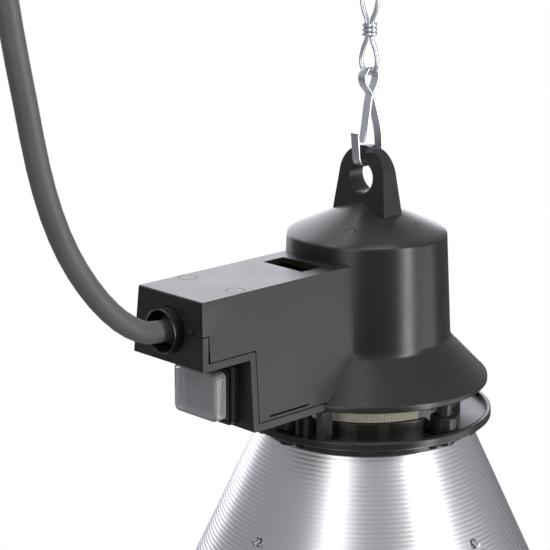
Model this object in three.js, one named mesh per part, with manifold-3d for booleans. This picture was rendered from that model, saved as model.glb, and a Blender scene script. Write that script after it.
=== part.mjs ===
// Hanging heat and grow lamp for a nursery or greenhouse: a moulded housing with an eye on top and a terminal
// arm at its side, an open spun reflector screwed under a ventilation gap, a wire guard, a screw-in lamp, a
// dimmer switch under a clear hood, a knotted chain with two strip hooks, and a rubber mains lead.
//
// Units are millimetres and +Z is up. The lamp itself is built about its own axis, with z = 0 at the top rim
// of the housing and the arm along -X. The finished group hangs from the origin, the inside of the top hook.
import * as THREE from "three";
import { mergeVertices } from "three/addons/utils/BufferGeometryUtils.js";
import Module from "manifold-3d";

const wasm = await Module();
wasm.setup();

// ---------------------------------------------------------------- driving dimensions
const GAP = 0.3; // clearance between pieces that touch
const ROUND = 48; // segments in a full turn of a large piece
const SMALL_ROUND = 12; // segments in a full turn of a screw, pin or post

const wall = 2.8; // moulded wall

const cap = {
  topR: 38, // radius at the top rim
  footR: 40.7, // radius where the skirt starts
  height: 51.2, // top rim down to the skirt
  coneSlope: 0.445, // rise of the shallow cone per millimetre of radius
  skirtR: 58.5,
  skirtBottom: 72.2, // depth of the skirt's lower edge
};
const eye = {
  radius: 7.5,
  height: 25.9,
  topR: 14.2,
  baseHalf: 17.3,
  baseThick: 13.4,
  topThick: 6.2,
  baseZ: 4,
};
const arm = {
  length: 123.5, // axis to the end face, at the top
  halfTop: 21, // half width at the top
  top: 8.1, // depth of the top face
  endDepth: 38.8, // depth of the end box
  depth: 71.8, // depth of the deep part
  notchX: 97.4, // axis to the switch wall
  sideDraft: 0.069, // growth of the half width per millimetre of depth
  endDraft: 0.053, // the same for the end face
};
const coverThick = 3.4; // wall of the stepped cover
const splitDepth = 23.3; // depth of the parting line on the end face
const slot = { x: 48.9, length: 11.7, width: 25 };
const slit = { x: 75.3, length: 24, height: 0.9, depth: 66.4 };

const gland = { depth: 24, ringR: 10.5, ringBore: 9.1, standOut: 3.4 };
const cord = { diameter: 10, sides: 10 };

const switchUnit = {
  depth: 56.2, // depth of its centre
  bezelHalfY: 16.2,
  bezelHalfZ: 13.9,
  bezelThick: 5.8,
  hoodHalfY: 14,
  hoodHalfZ: 11,
  hoodDepth: 6.2,
  hoodWall: 1.1,
  rockerHalfY: 10,
  rockerHalfZ: 7.4,
  tilt: 7, // degrees either side of level
};

const flange = {
  outerR: 60.6,
  bore: 38,
  top: 85.8, // depth of the raised edge
  plateTop: 88.2,
  plateThick: 2.4,
  edgeWide: 2.4,
  stepR: 57,
  stepBottom: 92.4,
};
const collar = { outerR: 46, innerR: 43.2, top: 81.4, halfAngle: 38 };
const airRing = { outerR: 44.4, innerR: 40.4, top: 75.4, halfAngle: 33, ribs: 9, ribDeep: 0.5 };
const boss = { count: 4, pitchR: 51, wideR: 6.65, wideTop: 79.8, postR: 3.65, lowR: 4.8, lowBottom: 93.8 };

const reflector = { throatR: 39.6, neckR: 51.4, neckDepth: 95.6, mouthR: 105, slope: 0.4575, thick: 1.2 };
const guard = {
  wire: 2.4,
  hookDepth: 138,
  clearance: 4.2,
  ringR: 88,
  innerRingR: 45,
  floorDepth: 252,
  legs: 4,
};
const bulb = { lensR: 61, length: 136, capR: 13, capLength: 26, wall: 2.6 };
const holder = { outerR: 20, top: 39.1, boreTop: 60, bottom: 90, bore: 15.6, stubR: 3.7, stubTop: 33 };

const wire = 2.2; // chain wire
const link = { count: 5, width: 12.4, length: 42.6, waist: 2.7, knotHeight: 7.2 };
const strip = { width: 5, thick: 1.2 };
const coil = { midR: 60, radialLayers: 2, axialLayers: 3, y: 23 };
const plug = { reliefLength: 26, bodyLength: 34, bodyR: 18.6, pinLength: 19, pinR: 2.4, pinPitch: 19 };

// ---------------------------------------------------------------- materials
const finish = (color, roughness, metalness = 0) =>
  new THREE.MeshStandardMaterial({ color, roughness, metalness });
const blackPlastic = finish(0x232521, 0.45);
const glossBlack = finish(0x141513, 0.25);
const zinc = finish(0xc9ccd2, 0.28, 1);
const aluminium = finish(0xc4c6c8, 0.38, 1);
const brass = finish(0xb08d4f, 0.35, 1);
const porcelain = finish(0xe6e2d6, 0.3);
const fibre = finish(0x8b8a74, 0.7);
const rubber = finish(0x34373a, 0.65);
const clear = finish(0xe4e8ea, 0.08);
const glass = finish(0xf2f3f0, 0.05);

// ---------------------------------------------------------------- making solids
function toSolid(geometry) {
  const flat = geometry.index ? geometry.toNonIndexed() : geometry;
  const bare = new THREE.BufferGeometry().setAttribute("position", flat.getAttribute("position"));
  const merged = mergeVertices(bare, 1e-4);
  const corners = merged.index.array;
  const kept = [];
  for (let i = 0; i < corners.length; i += 3) {
    const [a, b, c] = [corners[i], corners[i + 1], corners[i + 2]];
    if (a !== b && b !== c && c !== a) kept.push(a, b, c);
  }
  const build = (triVerts) =>
    new wasm.Manifold(
      new wasm.Mesh({
        numProp: 3,
        vertProperties: merged.attributes.position.array,
        triVerts: Uint32Array.from(triVerts),
      }),
    );
  const made = build(kept);
  return made.volume() < 0 ? build(kept.reverse()) : made;
}

function toGeometry(solid) {
  const mesh = solid.getMesh();
  const places = new Float32Array(mesh.numVert * 3);
  for (let i = 0; i < mesh.numVert; i++) {
    places.set(mesh.vertProperties.subarray(i * mesh.numProp, i * mesh.numProp + 3), i * 3);
  }
  const geometry = new THREE.BufferGeometry().setAttribute("position", new THREE.BufferAttribute(places, 3));
  geometry.setIndex(new THREE.BufferAttribute(mesh.triVerts, 1));
  geometry.computeVertexNormals();
  return geometry;
}

const union = (...solids) => solids.flat().reduce((sum, next) => sum.add(next));
const cut = (solid, ...tools) => tools.flat().reduce((rest, tool) => rest.subtract(tool), solid);

// A profile of [radius, z] pairs turned about Z.
function revolve(profile, segments = ROUND) {
  const points = profile.map(([r, z]) => new THREE.Vector2(r, z));
  return toSolid(new THREE.LatheGeometry(points, segments).rotateX(Math.PI / 2));
}

// A closed ring profile: the first point is repeated at the end.
const revolveRing = (profile, segments) => revolve([...profile, profile[0]], segments);

const polygon = (points) => new THREE.Shape(points.map(([u, v]) => new THREE.Vector2(u, v)));

function extrude(shape, length, curveSegments = 12) {
  return new THREE.ExtrudeGeometry(shape, { depth: length, bevelEnabled: false, curveSegments });
}

// A shape drawn in YZ and run along X, one drawn in XZ and run along Y, and one drawn in XY and run along Z.
function prismX(shape, x0, x1, curveSegments) {
  const turn = new THREE.Matrix4().set(0, 0, 1, x0, 1, 0, 0, 0, 0, 1, 0, 0, 0, 0, 0, 1);
  return toSolid(extrude(shape, x1 - x0, curveSegments).applyMatrix4(turn));
}
function prismY(shape, y0, y1, curveSegments) {
  const turn = new THREE.Matrix4().set(1, 0, 0, 0, 0, 0, -1, y1, 0, 1, 0, 0, 0, 0, 0, 1);
  return toSolid(extrude(shape, y1 - y0, curveSegments).applyMatrix4(turn));
}
function prismZ(shape, z0, z1, curveSegments) {
  return toSolid(extrude(shape, z1 - z0, curveSegments).translate(0, 0, z0));
}

const box = (x0, x1, y0, y1, z0, z1) => {
  const block = new THREE.BoxGeometry(x1 - x0, y1 - y0, z1 - z0);
  return toSolid(block.translate((x0 + x1) / 2, (y0 + y1) / 2, (z0 + z1) / 2));
};

const rodZ = (r, x, y, z0, z1, segments = SMALL_ROUND) => {
  const rod = new THREE.CylinderGeometry(r, r, z1 - z0, segments).rotateX(Math.PI / 2);
  return toSolid(rod.translate(x, y, (z0 + z1) / 2));
};
const rodX = (r, x0, x1, y, z, segments = SMALL_ROUND) => {
  const rod = new THREE.CylinderGeometry(r, r, x1 - x0, segments).rotateZ(Math.PI / 2);
  return toSolid(rod.translate((x0 + x1) / 2, y, z));
};

// A rectangle with round corners, centred on the origin.
function roundedRect(halfU, halfV, r) {
  const shape = new THREE.Shape();
  shape.moveTo(halfU - r, -halfV);
  shape.absarc(halfU - r, -halfV + r, r, -Math.PI / 2, 0, false);
  shape.absarc(halfU - r, halfV - r, r, 0, Math.PI / 2, false);
  shape.absarc(-halfU + r, halfV - r, r, Math.PI / 2, Math.PI, false);
  shape.absarc(-halfU + r, -halfV + r, r, Math.PI, 1.5 * Math.PI, false);
  return shape;
}

// A wedge about Z, from the axis out past every piece, used to keep or cut a sector.
function sector(centre, half, z0, z1, reach = 140) {
  const [from, to] = [centre - half, centre + half].map(THREE.MathUtils.degToRad);
  const mid = (from + to) / 2;
  const corner = (angle, r) => [r * Math.cos(angle), r * Math.sin(angle)];
  return prismZ(polygon([[0, 0], corner(from, reach), corner(mid, reach * 1.3), corner(to, reach)]), z0, z1);
}

// A smooth curve whose steps are shared equally between its control points: close points make a tight bend.
class StepCurve extends THREE.CatmullRomCurve3 {
  constructor(points, closed = false) {
    super(points.map((p) => new THREE.Vector3(...p)), closed, "centripetal");
    this.spans = closed ? points.length : points.length - 1;
  }
  getPointAt(u, target) {
    return this.getPoint(u, target);
  }
  getTangentAt(u, target) {
    return this.getTangent(u, target);
  }
  getSpacedPoints(steps) {
    return this.getPoints(steps);
  }
}

// A round wire through open points, and one through the points of a closed loop.
function rod(points, r, perSpan, sides = 6) {
  const curve = new StepCurve(points);
  const section = new THREE.Shape();
  for (let i = 0; i < sides; i++) {
    const angle = (2 * Math.PI * (i + 0.5)) / sides;
    const point = [r * Math.cos(angle), r * Math.sin(angle)];
    if (i === 0) section.moveTo(...point);
    else section.lineTo(...point);
  }
  const steps = perSpan * curve.spans;
  return toSolid(new THREE.ExtrudeGeometry(section, { steps, extrudePath: curve, bevelEnabled: false }));
}
function loop(points, r, perSpan, sides = 6) {
  const curve = new StepCurve(points, true);
  return toSolid(new THREE.TubeGeometry(curve, perSpan * curve.spans, r, sides, true));
}

// Places about Z, for a set of equal pieces.
const span = (a, b) => [Math.min(a, b), Math.max(a, b)];

function around(count, r, make, offset = 0) {
  return Array.from({ length: count }, (_, i) => {
    const angle = offset + (2 * Math.PI * i) / count;
    return make(r * Math.cos(angle), r * Math.sin(angle), i, angle);
  });
}

// ---------------------------------------------------------------- housing
const armHalf = (depth) => arm.halfTop + arm.sideDraft * (depth - arm.top);
const endFace = (depth) => -(arm.length + arm.endDraft * (depth - arm.top));

// The arm's cross-section, inset by a wall: every piece of the arm is trimmed to it, so they share one draft.
function armSection(inset = 0, bottom = 90) {
  const top = -(arm.top + inset);
  const slant = (depth) => armHalf(depth) - inset;
  return polygon([
    [-slant(arm.top + inset), top],
    [slant(arm.top + inset), top],
    [slant(bottom), -bottom],
    [-slant(bottom), -bottom],
  ]);
}
const armDraft = (inset, bottom) => prismX(armSection(inset, bottom), -160, 0);

function capOutline() {
  const shoulder = [];
  for (const t of [0, 0.35, 0.7, 1]) {
    const angle = (Math.PI / 4) * (1 - t) + 0.02;
    const r = 4.6;
    shoulder.push([cap.skirtR - r + r * Math.cos(angle), -(cap.skirtBottom - 2.4) + r * Math.sin(angle)]);
  }
  const peak = cap.coneSlope * cap.topR;
  return [
    [0, peak],
    [cap.topR - 1.4, cap.coneSlope * 1.4 - 0.1],
    [cap.topR - 0.3, -0.4],
    [cap.topR, -1.4],
    [cap.footR, -cap.height],
    ...shoulder,
    [cap.skirtR - 0.2, -cap.skirtBottom],
  ];
}

function capInside() {
  const peak = cap.coneSlope * cap.topR;
  const lipR = cap.skirtR - wall;
  return [
    [0, peak - wall * 1.1],
    [cap.topR - wall - 0.4, -wall * 0.8],
    [cap.footR - wall, -cap.height - wall * 0.45],
    [lipR - 0.3, -(cap.skirtBottom - 3.2)],
    [lipR, -(cap.skirtBottom - 1.8)],
    [lipR, -cap.skirtBottom - 5],
    [0, -cap.skirtBottom - 5],
  ];
}

function suspensionEye() {
  const front = new THREE.Shape();
  const lean = THREE.MathUtils.degToRad(9);
  const arcZ = eye.height + 0.9;
  front.moveTo(-eye.baseHalf, eye.baseZ);
  front.lineTo(eye.baseHalf, eye.baseZ);
  front.absarc(0, arcZ, eye.topR, lean, Math.PI - lean, false);
  const side = polygon([
    [-eye.baseThick / 2, eye.baseZ],
    [eye.baseThick / 2, eye.baseZ],
    [eye.topThick / 2 + 0.2, arcZ + eye.topR - 3],
    [eye.topThick / 2 - 1.2, arcZ + eye.topR + 1],
    [-eye.topThick / 2 + 1.2, arcZ + eye.topR + 1],
    [-eye.topThick / 2 - 0.2, arcZ + eye.topR - 3],
  ]);
  const lug = prismX(front, -eye.baseThick, eye.baseThick, 10).intersect(prismY(side, -30, 30));
  return { lug, hole: rodX(eye.radius, -20, 20, 0, eye.height, 32) };
}

// Screw posts that hang from the skirt and meet the flange's bosses.
const postTop = -(cap.skirtBottom - 10);
const skirtPosts = () =>
  around(boss.count, boss.pitchR, (x, y) => rodZ(boss.postR, x, y, -boss.wideTop + GAP, postTop));

const bracketPost = { y: 25, r: 4.2, bottom: 36.5 };

function housing() {
  const outside = revolve([...capOutline(), [0, -cap.skirtBottom]]);
  const inside = revolve(capInside());
  const { lug, hole } = suspensionEye();

  const lower = -(arm.depth - coverThick - GAP);
  const step = -(arm.endDepth - coverThick - GAP);
  const innerEnd = endFace(splitDepth) + coverThick + GAP;
  const profile = polygon([
    [endFace(arm.top), -arm.top],
    [-cap.topR * 0.6, -arm.top],
    [-cap.topR * 0.6, lower],
    [-(arm.notchX - coverThick - GAP), lower],
    [-(arm.notchX - coverThick - GAP), step],
    [innerEnd, step],
    [innerEnd, -splitDepth],
    [endFace(splitDepth), -splitDepth],
  ]);
  const armOutside = prismY(profile, -40, 40).intersect(armDraft(0));
  const cavity = polygon([
    [endFace(arm.top) + wall, -arm.top - wall],
    [-cap.topR * 0.5, -arm.top - wall],
    [-cap.topR * 0.5, -cap.skirtBottom + 14],
    [-(cap.skirtR + 1.2), -cap.skirtBottom + 5],
    [-(cap.skirtR + 1.2), -cap.skirtBottom - 12],
    [endFace(arm.top) + wall, -cap.skirtBottom - 12],
  ]);
  const armInside = prismY(cavity, -40, 40).intersect(armDraft(wall, cap.skirtBottom + 12));

  const slotEnds = span(-slot.x - slot.length / 2, -slot.x + slot.length / 2);
  const slotCut = box(...slotEnds, -slot.width / 2, slot.width / 2, -20, 5);
  const latch = (side) => {
    const y = side * armHalf(slit.depth);
    const [x0, x1] = [-slit.x - slit.length / 2, -slit.x + slit.length / 2];
    const [low, high] = span(-slit.depth - slit.height / 2, -slit.depth + slit.height / 2);
    return box(x0, x1, y - 2 * wall, y + 2 * wall, low, high);
  };
  const glandHole = rodX(gland.ringR + GAP, -140, -110, 0, -gland.depth, 40);
  const parted = box(endFace(splitDepth) - 5, innerEnd, -40, 40, -60, -splitDepth);

  const postCeiling = cap.coneSlope * (cap.topR - bracketPost.y - bracketPost.r) - GAP;
  const bracketPosts = [-1, 1].map((s) =>
    rodZ(bracketPost.r, 0, s * bracketPost.y, -bracketPost.bottom, postCeiling),
  );
  const pilots = [-1, 1].map((s) => rodZ(1.7, 0, s * bracketPost.y, -bracketPost.bottom - 1, -22, 10));
  const nub = box(endFace(22) - 1.2, endFace(22) + 0.8, -16.2, -13.6, -22.8, -21);

  const hollows = [inside, armInside, slotCut, glandHole, parted, latch(-1), latch(1)];
  const shell = cut(union(outside, armOutside), ...hollows);
  const flangePilots = around(boss.count, boss.pitchR, (x, y) => rodZ(1.7, x, y, -90, postTop - 3, 10));
  const coverPosts = coverScrewPlaces.map(([x, y]) => rodZ(3.4, x, y, lower, -arm.top - 1));
  const coverPilots = coverScrewPlaces.map(([x, y]) => rodZ(1.7, x, y, lower - 1, lower + 8, 10));
  const solid = union(shell, nub, cut(lug, inside), ...bracketPosts, ...coverPosts, ...skirtPosts());
  return cut(solid, hole, ...pilots, ...coverPilots, ...flangePilots);
}

// The stepped cover under the arm: end wall, end-box floor, switch wall and deep floor in one moulding.
function armCover() {
  const t = coverThick;
  const profile = polygon([
    [endFace(splitDepth), -splitDepth - GAP],
    [endFace(arm.endDepth), -arm.endDepth],
    [-arm.notchX, -arm.endDepth],
    [-arm.notchX, -arm.depth],
    [-cap.footR, -arm.depth],
    [-cap.footR, -arm.depth + t],
    [-arm.notchX + t, -arm.depth + t],
    [-arm.notchX + t, -arm.endDepth + t],
    [endFace(arm.endDepth) + t, -arm.endDepth + t],
    [endFace(splitDepth) + t, -splitDepth - GAP],
  ]);
  const plate = prismY(profile, -40, 40).intersect(armDraft(0));
  const s = switchUnit;
  const opening = box(-arm.notchX - 5, -arm.notchX + 8, -s.rockerHalfY - 3, s.rockerHalfY + 3,
    -s.depth - s.rockerHalfZ - 2.6, -s.depth + s.rockerHalfZ + 2.6);
  const skirtRoom = rodZ(cap.skirtR + GAP, 0, 0, -arm.depth - 5, -40, ROUND);
  const glandHole = rodX(gland.ringR + GAP, -140, -110, 0, -gland.depth, 40);
  const holes = coverScrewPlaces.map(([x, y]) => rodZ(1.8, x, y, -arm.depth - 1, -arm.depth + t + 1, 10));
  const posts = clampPlaces.map(([x, y]) => rodZ(3.2, x, y, -arm.endDepth + 0.5, clampBottom - GAP));
  const pilots = clampPlaces.map(([x, y]) => rodZ(1.7, x, y, -arm.endDepth + t, clampBottom, 10));
  return cut(union(cut(plate, opening, skirtRoom, glandHole), ...posts), ...holes, ...pilots);
}
const coverScrewPlaces = [[-74, -17], [-74, 17]];

// ---------------------------------------------------------------- cable entry
function glandRing() {
  const front = endFace(gland.depth) - gland.standOut;
  const tube = cut(
    rodX(gland.ringR, front, -110.5, 0, -gland.depth, 40),
    rodX(gland.ringBore, front - 1, -109, 0, -gland.depth, 40),
  );
  const groove = cut(
    rodX(gland.ringR + 1, -122.6, -121.4, 0, -gland.depth, 40),
    rodX(gland.ringR - 0.5, -123, -121, 0, -gland.depth, 40),
  );
  return cut(tube, groove);
}

const grommetFace = endFace(gland.depth) + 0.6;
function cordGrommet() {
  const bore = cord.diameter / 2 + GAP;
  const seatR = gland.ringBore - GAP;
  const ring = revolveRing([[bore, 0], [seatR, 0], [seatR, -8], [bore + 1.6, -17], [bore, -17]], 24);
  return ring.rotate([0, -90, 0]).translate([grommetFace, 0, -gland.depth]);
}

// The cord clamp is a saddle over the cord, screwed down onto two posts of the cover.
const clampPlaces = [[-99, -9.6], [-99, 9.6]];
const clampBottom = -gland.depth + 2;
const clampTop = -gland.depth + 8;
function cordClamp() {
  const saddle = box(-103.5, -94.5, -13.4, 13.4, clampBottom, clampTop);
  const holes = clampPlaces.map(([x, y]) => rodZ(1.8, x, y, -40, -10, 10));
  return cut(saddle, rodX(cord.diameter / 2 + GAP, -110, -80, 0, -gland.depth, 20), ...holes);
}
// A slotted screw whose head bears at a height; it points up, or down when its length is negative.
function panScrew(x, y, seat, length, headR = 3.2, headH = 2) {
  const away = -Math.sign(length);
  const head = rodZ(headR, x, y, ...span(seat, seat + away * headH), 12);
  const shank = rodZ(1.4, x, y, ...span(seat + length, seat + away * 0.4), 8);
  const depths = span(seat + away * (headH - 0.8), seat + away * (headH + 1));
  const slotCut = box(x - headR - 1, x + headR + 1, y - 0.5, y + 0.5, ...depths);
  return cut(union(head, shank), slotCut);
}

function terminalBlock() {
  const body = box(-86, -62, -11, 11, -31, -16);
  const wells = [-7, 0, 7].flatMap((y) => [rodZ(2.3, -81, y, -22, -10, 8), rodZ(2.3, -67, y, -22, -10, 8)]);
  return cut(body, ...wells);
}

// ---------------------------------------------------------------- switch
const switchZ = -switchUnit.depth;
const bezelBack = -arm.notchX - GAP;
const bezelFront = bezelBack - switchUnit.bezelThick;

function switchBezel() {
  const s = switchUnit;
  const frame = (inset, x0, x1) =>
    prismX(roundedRect(s.bezelHalfY - inset, s.bezelHalfZ - inset, 2.5 - inset / 2), x0, x1, 3);
  const steps = [
    frame(0, bezelBack - 1.7, bezelBack),
    frame(0.9, bezelBack - 2.2, bezelBack - 1.6),
    frame(0.3, bezelBack - 3.6, bezelBack - 2.1),
    frame(1.5, bezelFront, bezelBack - 3.5),
  ];
  const opening = roundedRect(s.rockerHalfY + 0.6, s.rockerHalfZ + 0.6, 1);
  const bore = prismX(opening, bezelFront - 1, bezelBack + 1, 3);
  return cut(union(...steps), bore).translate([0, 0, switchZ]);
}

function switchBody() {
  const s = switchUnit;
  const [hy, hz] = [s.rockerHalfY + 2.6, s.rockerHalfZ + 2.2];
  const body = box(bezelBack + GAP * 2, -75, -hy, hy, switchZ - hz, switchZ + hz);
  const pocket = box(bezelBack - 1, -91.5, -hy + 2, hy - 2, switchZ - hz + 1.8, switchZ + hz - 1.8);
  const tabs = [-7, 0, 7].map((y) => box(-75.5, -68, y - 2.4, y + 2.4, switchZ - 0.4, switchZ + 0.4));
  return union(cut(body, pocket), ...tabs);
}

const rockerPivotX = bezelBack + 1;
function switchRocker() {
  const s = switchUnit;
  const half = s.rockerHalfY;
  const outline = new THREE.Shape();
  outline.moveTo(3.4, -half * 0.55);
  outline.lineTo(-3.2, -half);
  outline.quadraticCurveTo(-4.6, -half * 0.7, -4.2, 0);
  outline.quadraticCurveTo(-4.6, half * 0.7, -3.2, half);
  outline.lineTo(3.4, half * 0.55);
  const body = prismZ(outline, -s.rockerHalfZ, s.rockerHalfZ, 5);
  const grip = [-2, 0, 2].map((y) => box(-6, -4.1, half * 0.62 + y - 0.5, half * 0.62 + y + 0.5, -5, 5));
  return cut(body, ...grip);
}

function switchHood() {
  const s = switchUnit;
  const back = bezelFront - GAP;
  const front = back - s.hoodDepth;
  const outer = prismX(roundedRect(s.hoodHalfY, s.hoodHalfZ, 3), front, back, 4);
  const hollow = roundedRect(s.hoodHalfY - s.hoodWall, s.hoodHalfZ - s.hoodWall, 2.2);
  const inner = prismX(hollow, front + s.hoodWall, back + 1, 4);
  const edge = cut(
    prismX(roundedRect(s.hoodHalfY, s.hoodHalfZ, 3), front - 1, front + 0.8, 4),
    prismX(roundedRect(s.hoodHalfY - 0.8, s.hoodHalfZ - 0.8, 2.4), front - 2, front + 2, 4),
  );
  return cut(outer, inner, edge).translate([0, 0, switchZ]);
}

// ---------------------------------------------------------------- flange, air ring and reflector
function sectorsOf(ring, half, z0, z1) {
  return union(...[45, 135, 225, 315].map((angle) => ring.intersect(sector(angle, half, z0, z1))));
}

const ringScrew = { count: 4, pitchR: 41.6 };
const screwSink = 2.8; // the flange screws sit this deep in the lower bosses

function mountingFlange() {
  const f = flange;
  const plateBottom = -(f.plateTop + f.plateThick);
  const plate = revolveRing([
    [f.bore, -f.plateTop],
    [f.outerR - f.edgeWide, -f.plateTop],
    [f.outerR - f.edgeWide + 0.4, -f.top],
    [f.outerR - 0.3, -f.top],
    [f.outerR, -f.top - 0.5],
    [f.outerR, -f.plateTop - 1],
    [f.stepR - 1, plateBottom],
    [f.bore, plateBottom],
  ]);
  const step = revolveRing([
    [f.stepR - 2.6, plateBottom + 0.6],
    [f.stepR, plateBottom + 0.9],
    [f.stepR, -f.stepBottom],
    [f.stepR - 2.6, -f.stepBottom],
  ]);
  const wallRing = revolveRing([
    [collar.innerR, -f.plateTop - 0.5],
    [collar.innerR, -collar.top],
    [collar.outerR, -collar.top],
    [collar.outerR, -f.plateTop - 0.5],
  ]);
  const raised = sectorsOf(wallRing, collar.halfAngle, -100, -70);
  const lowered = sectorsOf(step, 30, -100, -80);
  const bosses = around(boss.count, boss.pitchR, (x, y) =>
    union(
      rodZ(boss.wideR, x, y, -f.plateTop - 0.5, -boss.wideTop, 20),
      rodZ(boss.lowR, x, y, -boss.lowBottom, plateBottom + 0.5),
    ),
  );
  const bores = around(boss.count, boss.pitchR, (x, y) =>
    union(rodZ(1.8, x, y, -100, -70, 10), rodZ(3.5, x, y, -100, -boss.lowBottom + screwSink, 12)),
  );
  const atScrews = (z0, z1, r, sides) =>
    around(ringScrew.count, ringScrew.pitchR, (x, y) => rodZ(r, x, y, z0, z1, sides), Math.PI / 4);
  const spacers = atScrews(-boss.lowBottom, plateBottom + 0.5, 3.4);
  const ringBores = atScrews(-100, plateBottom + 1.4, 1.8, 10);
  // Two pairs of gussets carry the arm where it overhangs the flange.
  const apronPlate = box(-63, -50, -26, 26, plateBottom, -f.plateTop);
  const apron = apronPlate.subtract(rodZ(f.bore + 2, 0, 0, -100, -70, ROUND));
  const gusset = (y, thick, x0, x1) =>
    prismY(
      polygon([
        [x0, -f.plateTop - 0.2],
        [x1 - 3, -f.plateTop - 0.2],
        [x1, -f.plateTop + 4],
        [x1, -arm.depth - GAP],
        [x0, -arm.depth - GAP],
      ]),
      y - thick / 2,
      y + thick / 2,
    );
  const gussets = [-1, 1].flatMap((s) => [
    gusset(s * 24, 2.4, -62.4, -54.4),
    gusset(s * 17.4, 2, -62.4, -59.2),
  ]);
  const solid = union(plate, raised, lowered, apron, ...bosses, ...spacers, ...gussets);
  return cut(solid, ...bores, ...ringBores);
}

// The ribbed insert that lines the ventilation gap between the bosses.
function ribbedAirRing() {
  const a = airRing;
  const bottom = -flange.plateTop + GAP;
  const seatR = collar.innerR - GAP;
  const base = revolveRing([[a.innerR, bottom], [seatR, bottom], [seatR, bottom + 3], [a.innerR, bottom + 3]]);
  const outline = [];
  const from = THREE.MathUtils.degToRad(-a.halfAngle);
  const pitch = (-2 * from) / a.ribs;
  for (let i = 0; i < a.ribs; i++) {
    for (const [shift, r] of [[0.1, a.outerR - a.ribDeep], [0.3, a.outerR], [0.8, a.outerR]]) {
      const angle = from + (i + shift) * pitch;
      outline.push([r * Math.cos(angle), r * Math.sin(angle)]);
    }
  }
  for (let i = 8; i >= 0; i--) {
    const angle = from - (2 * from * i) / 8;
    outline.push([a.innerR * Math.cos(angle), a.innerR * Math.sin(angle)]);
  }
  const band = prismZ(polygon(outline), -collar.top + GAP, -a.top);
  const rootPlan = polygon([[a.innerR, -8], [seatR - 1, -8], [seatR - 1, 8], [a.innerR, 8]]);
  const root = prismZ(rootPlan, bottom + 1, -collar.top + 1);
  const turned = (solid, angle) => solid.rotate([0, 0, angle]);
  const trim = rodZ(a.innerR, 0, 0, -100, -60, ROUND);
  const walls = [45, 135, 225, 315].flatMap((angle) => [turned(band, angle), cut(turned(root, angle), trim)]);
  return union(base, ...walls);
}

// The holes of the screws that carry the reflector.
function ringScrewBores() {
  return around(ringScrew.count, ringScrew.pitchR, (x, y) => rodZ(1.8, x, y, -100, -70, 10), Math.PI / 4);
}

const neckSlopeZ = (r) => -(reflector.neckDepth + (r - reflector.neckR) / reflector.slope);
const reflectorR = (depth) => reflector.neckR + reflector.slope * (depth - reflector.neckDepth);
const reflectorTop = -(boss.lowBottom + GAP);
const mouthZ = neckSlopeZ(reflector.mouthR);

function reflectorCone() {
  const t = reflector.thick;
  const slant = t * Math.sqrt(1 + reflector.slope ** 2);
  const outer = [
    [reflector.throatR, reflectorTop],
    [reflector.neckR - 1.8, reflectorTop],
    [reflector.neckR - 0.6, reflectorTop - 0.5],
    [reflector.neckR, -reflector.neckDepth],
    [reflector.mouthR, mouthZ],
    [reflector.mouthR + 1.9, mouthZ - 0.6],
    [reflector.mouthR + 2.6, mouthZ - 2.2],
    [reflector.mouthR + 1.6, mouthZ - 3.7],
    [reflector.mouthR - 0.2, mouthZ - 3.4],
    [reflector.mouthR - slant, mouthZ - 1.2],
  ];
  const inner = [
    [reflector.neckR - slant - 0.6, reflectorTop - t - 0.6],
    [reflector.neckR - 2.6, reflectorTop - t],
    [reflector.throatR, reflectorTop - t],
  ];
  const holes = around(guard.legs, 0, (x, y, i, angle) => {
    const r = reflectorR(guard.hookDepth);
    const pin = rodX(guard.wire * 0.9, r - 12, r + 12, 0, -guard.hookDepth, 10);
    return pin.rotate([0, 0, THREE.MathUtils.radToDeg(angle)]);
  });
  const screws = ringScrewBores();
  return cut(revolveRing([...outer, ...inner], 52), ...holes, ...screws);
}

function clampRing() {
  const top = reflectorTop - reflector.thick - GAP;
  const [inner, outer] = [reflector.throatR, reflector.neckR - 4];
  const ring = revolveRing([[inner, top], [outer, top], [outer, top - 1.8], [inner, top - 1.8]], 36);
  const screws = ringScrewBores();
  return cut(ring, ...screws);
}

// ---------------------------------------------------------------- wire guard
function wireGuard() {
  const r = guard.wire / 2;
  const inside = (depth) => reflectorR(depth) - guard.clearance - r;
  const rim = -mouthZ;
  const half = [
    [reflectorR(guard.hookDepth) + 3.4, -guard.hookDepth],
    [reflectorR(guard.hookDepth) - 2.6, -guard.hookDepth],
    [reflectorR(guard.hookDepth) - 4.6, -guard.hookDepth - 2.6],
    [inside(guard.hookDepth + 10), -guard.hookDepth - 10],
    [inside(rim - 6), -rim + 6],
    [inside(rim) - 1, -rim - 9],
    [guard.ringR, -(guard.floorDepth - 12)],
    [guard.innerRingR + 22, -(guard.floorDepth - 3.4)],
    [guard.innerRingR - 12, -guard.floorDepth],
  ];
  const bow = (angle, lift) => {
    const points = [
      ...half.map(([u, z]) => [u, 0, z]),
      [0, 0, -guard.floorDepth + lift],
      ...half.map(([u, z]) => [-u, 0, z]).reverse(),
    ];
    return rod(points, r, 2, 5).rotate([0, 0, angle]);
  };
  const hoop = (radius, depth) => {
    const points = around(12, radius, (x, y) => [x, y, -depth]);
    return loop(points, r, 3, 5);
  };
  const hoops = [hoop(guard.ringR, guard.floorDepth - 12), hoop(guard.innerRingR, guard.floorDepth - 0.6)];
  return union(bow(0, 0), bow(90, guard.wire * 0.6), ...hoops);
}

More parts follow.
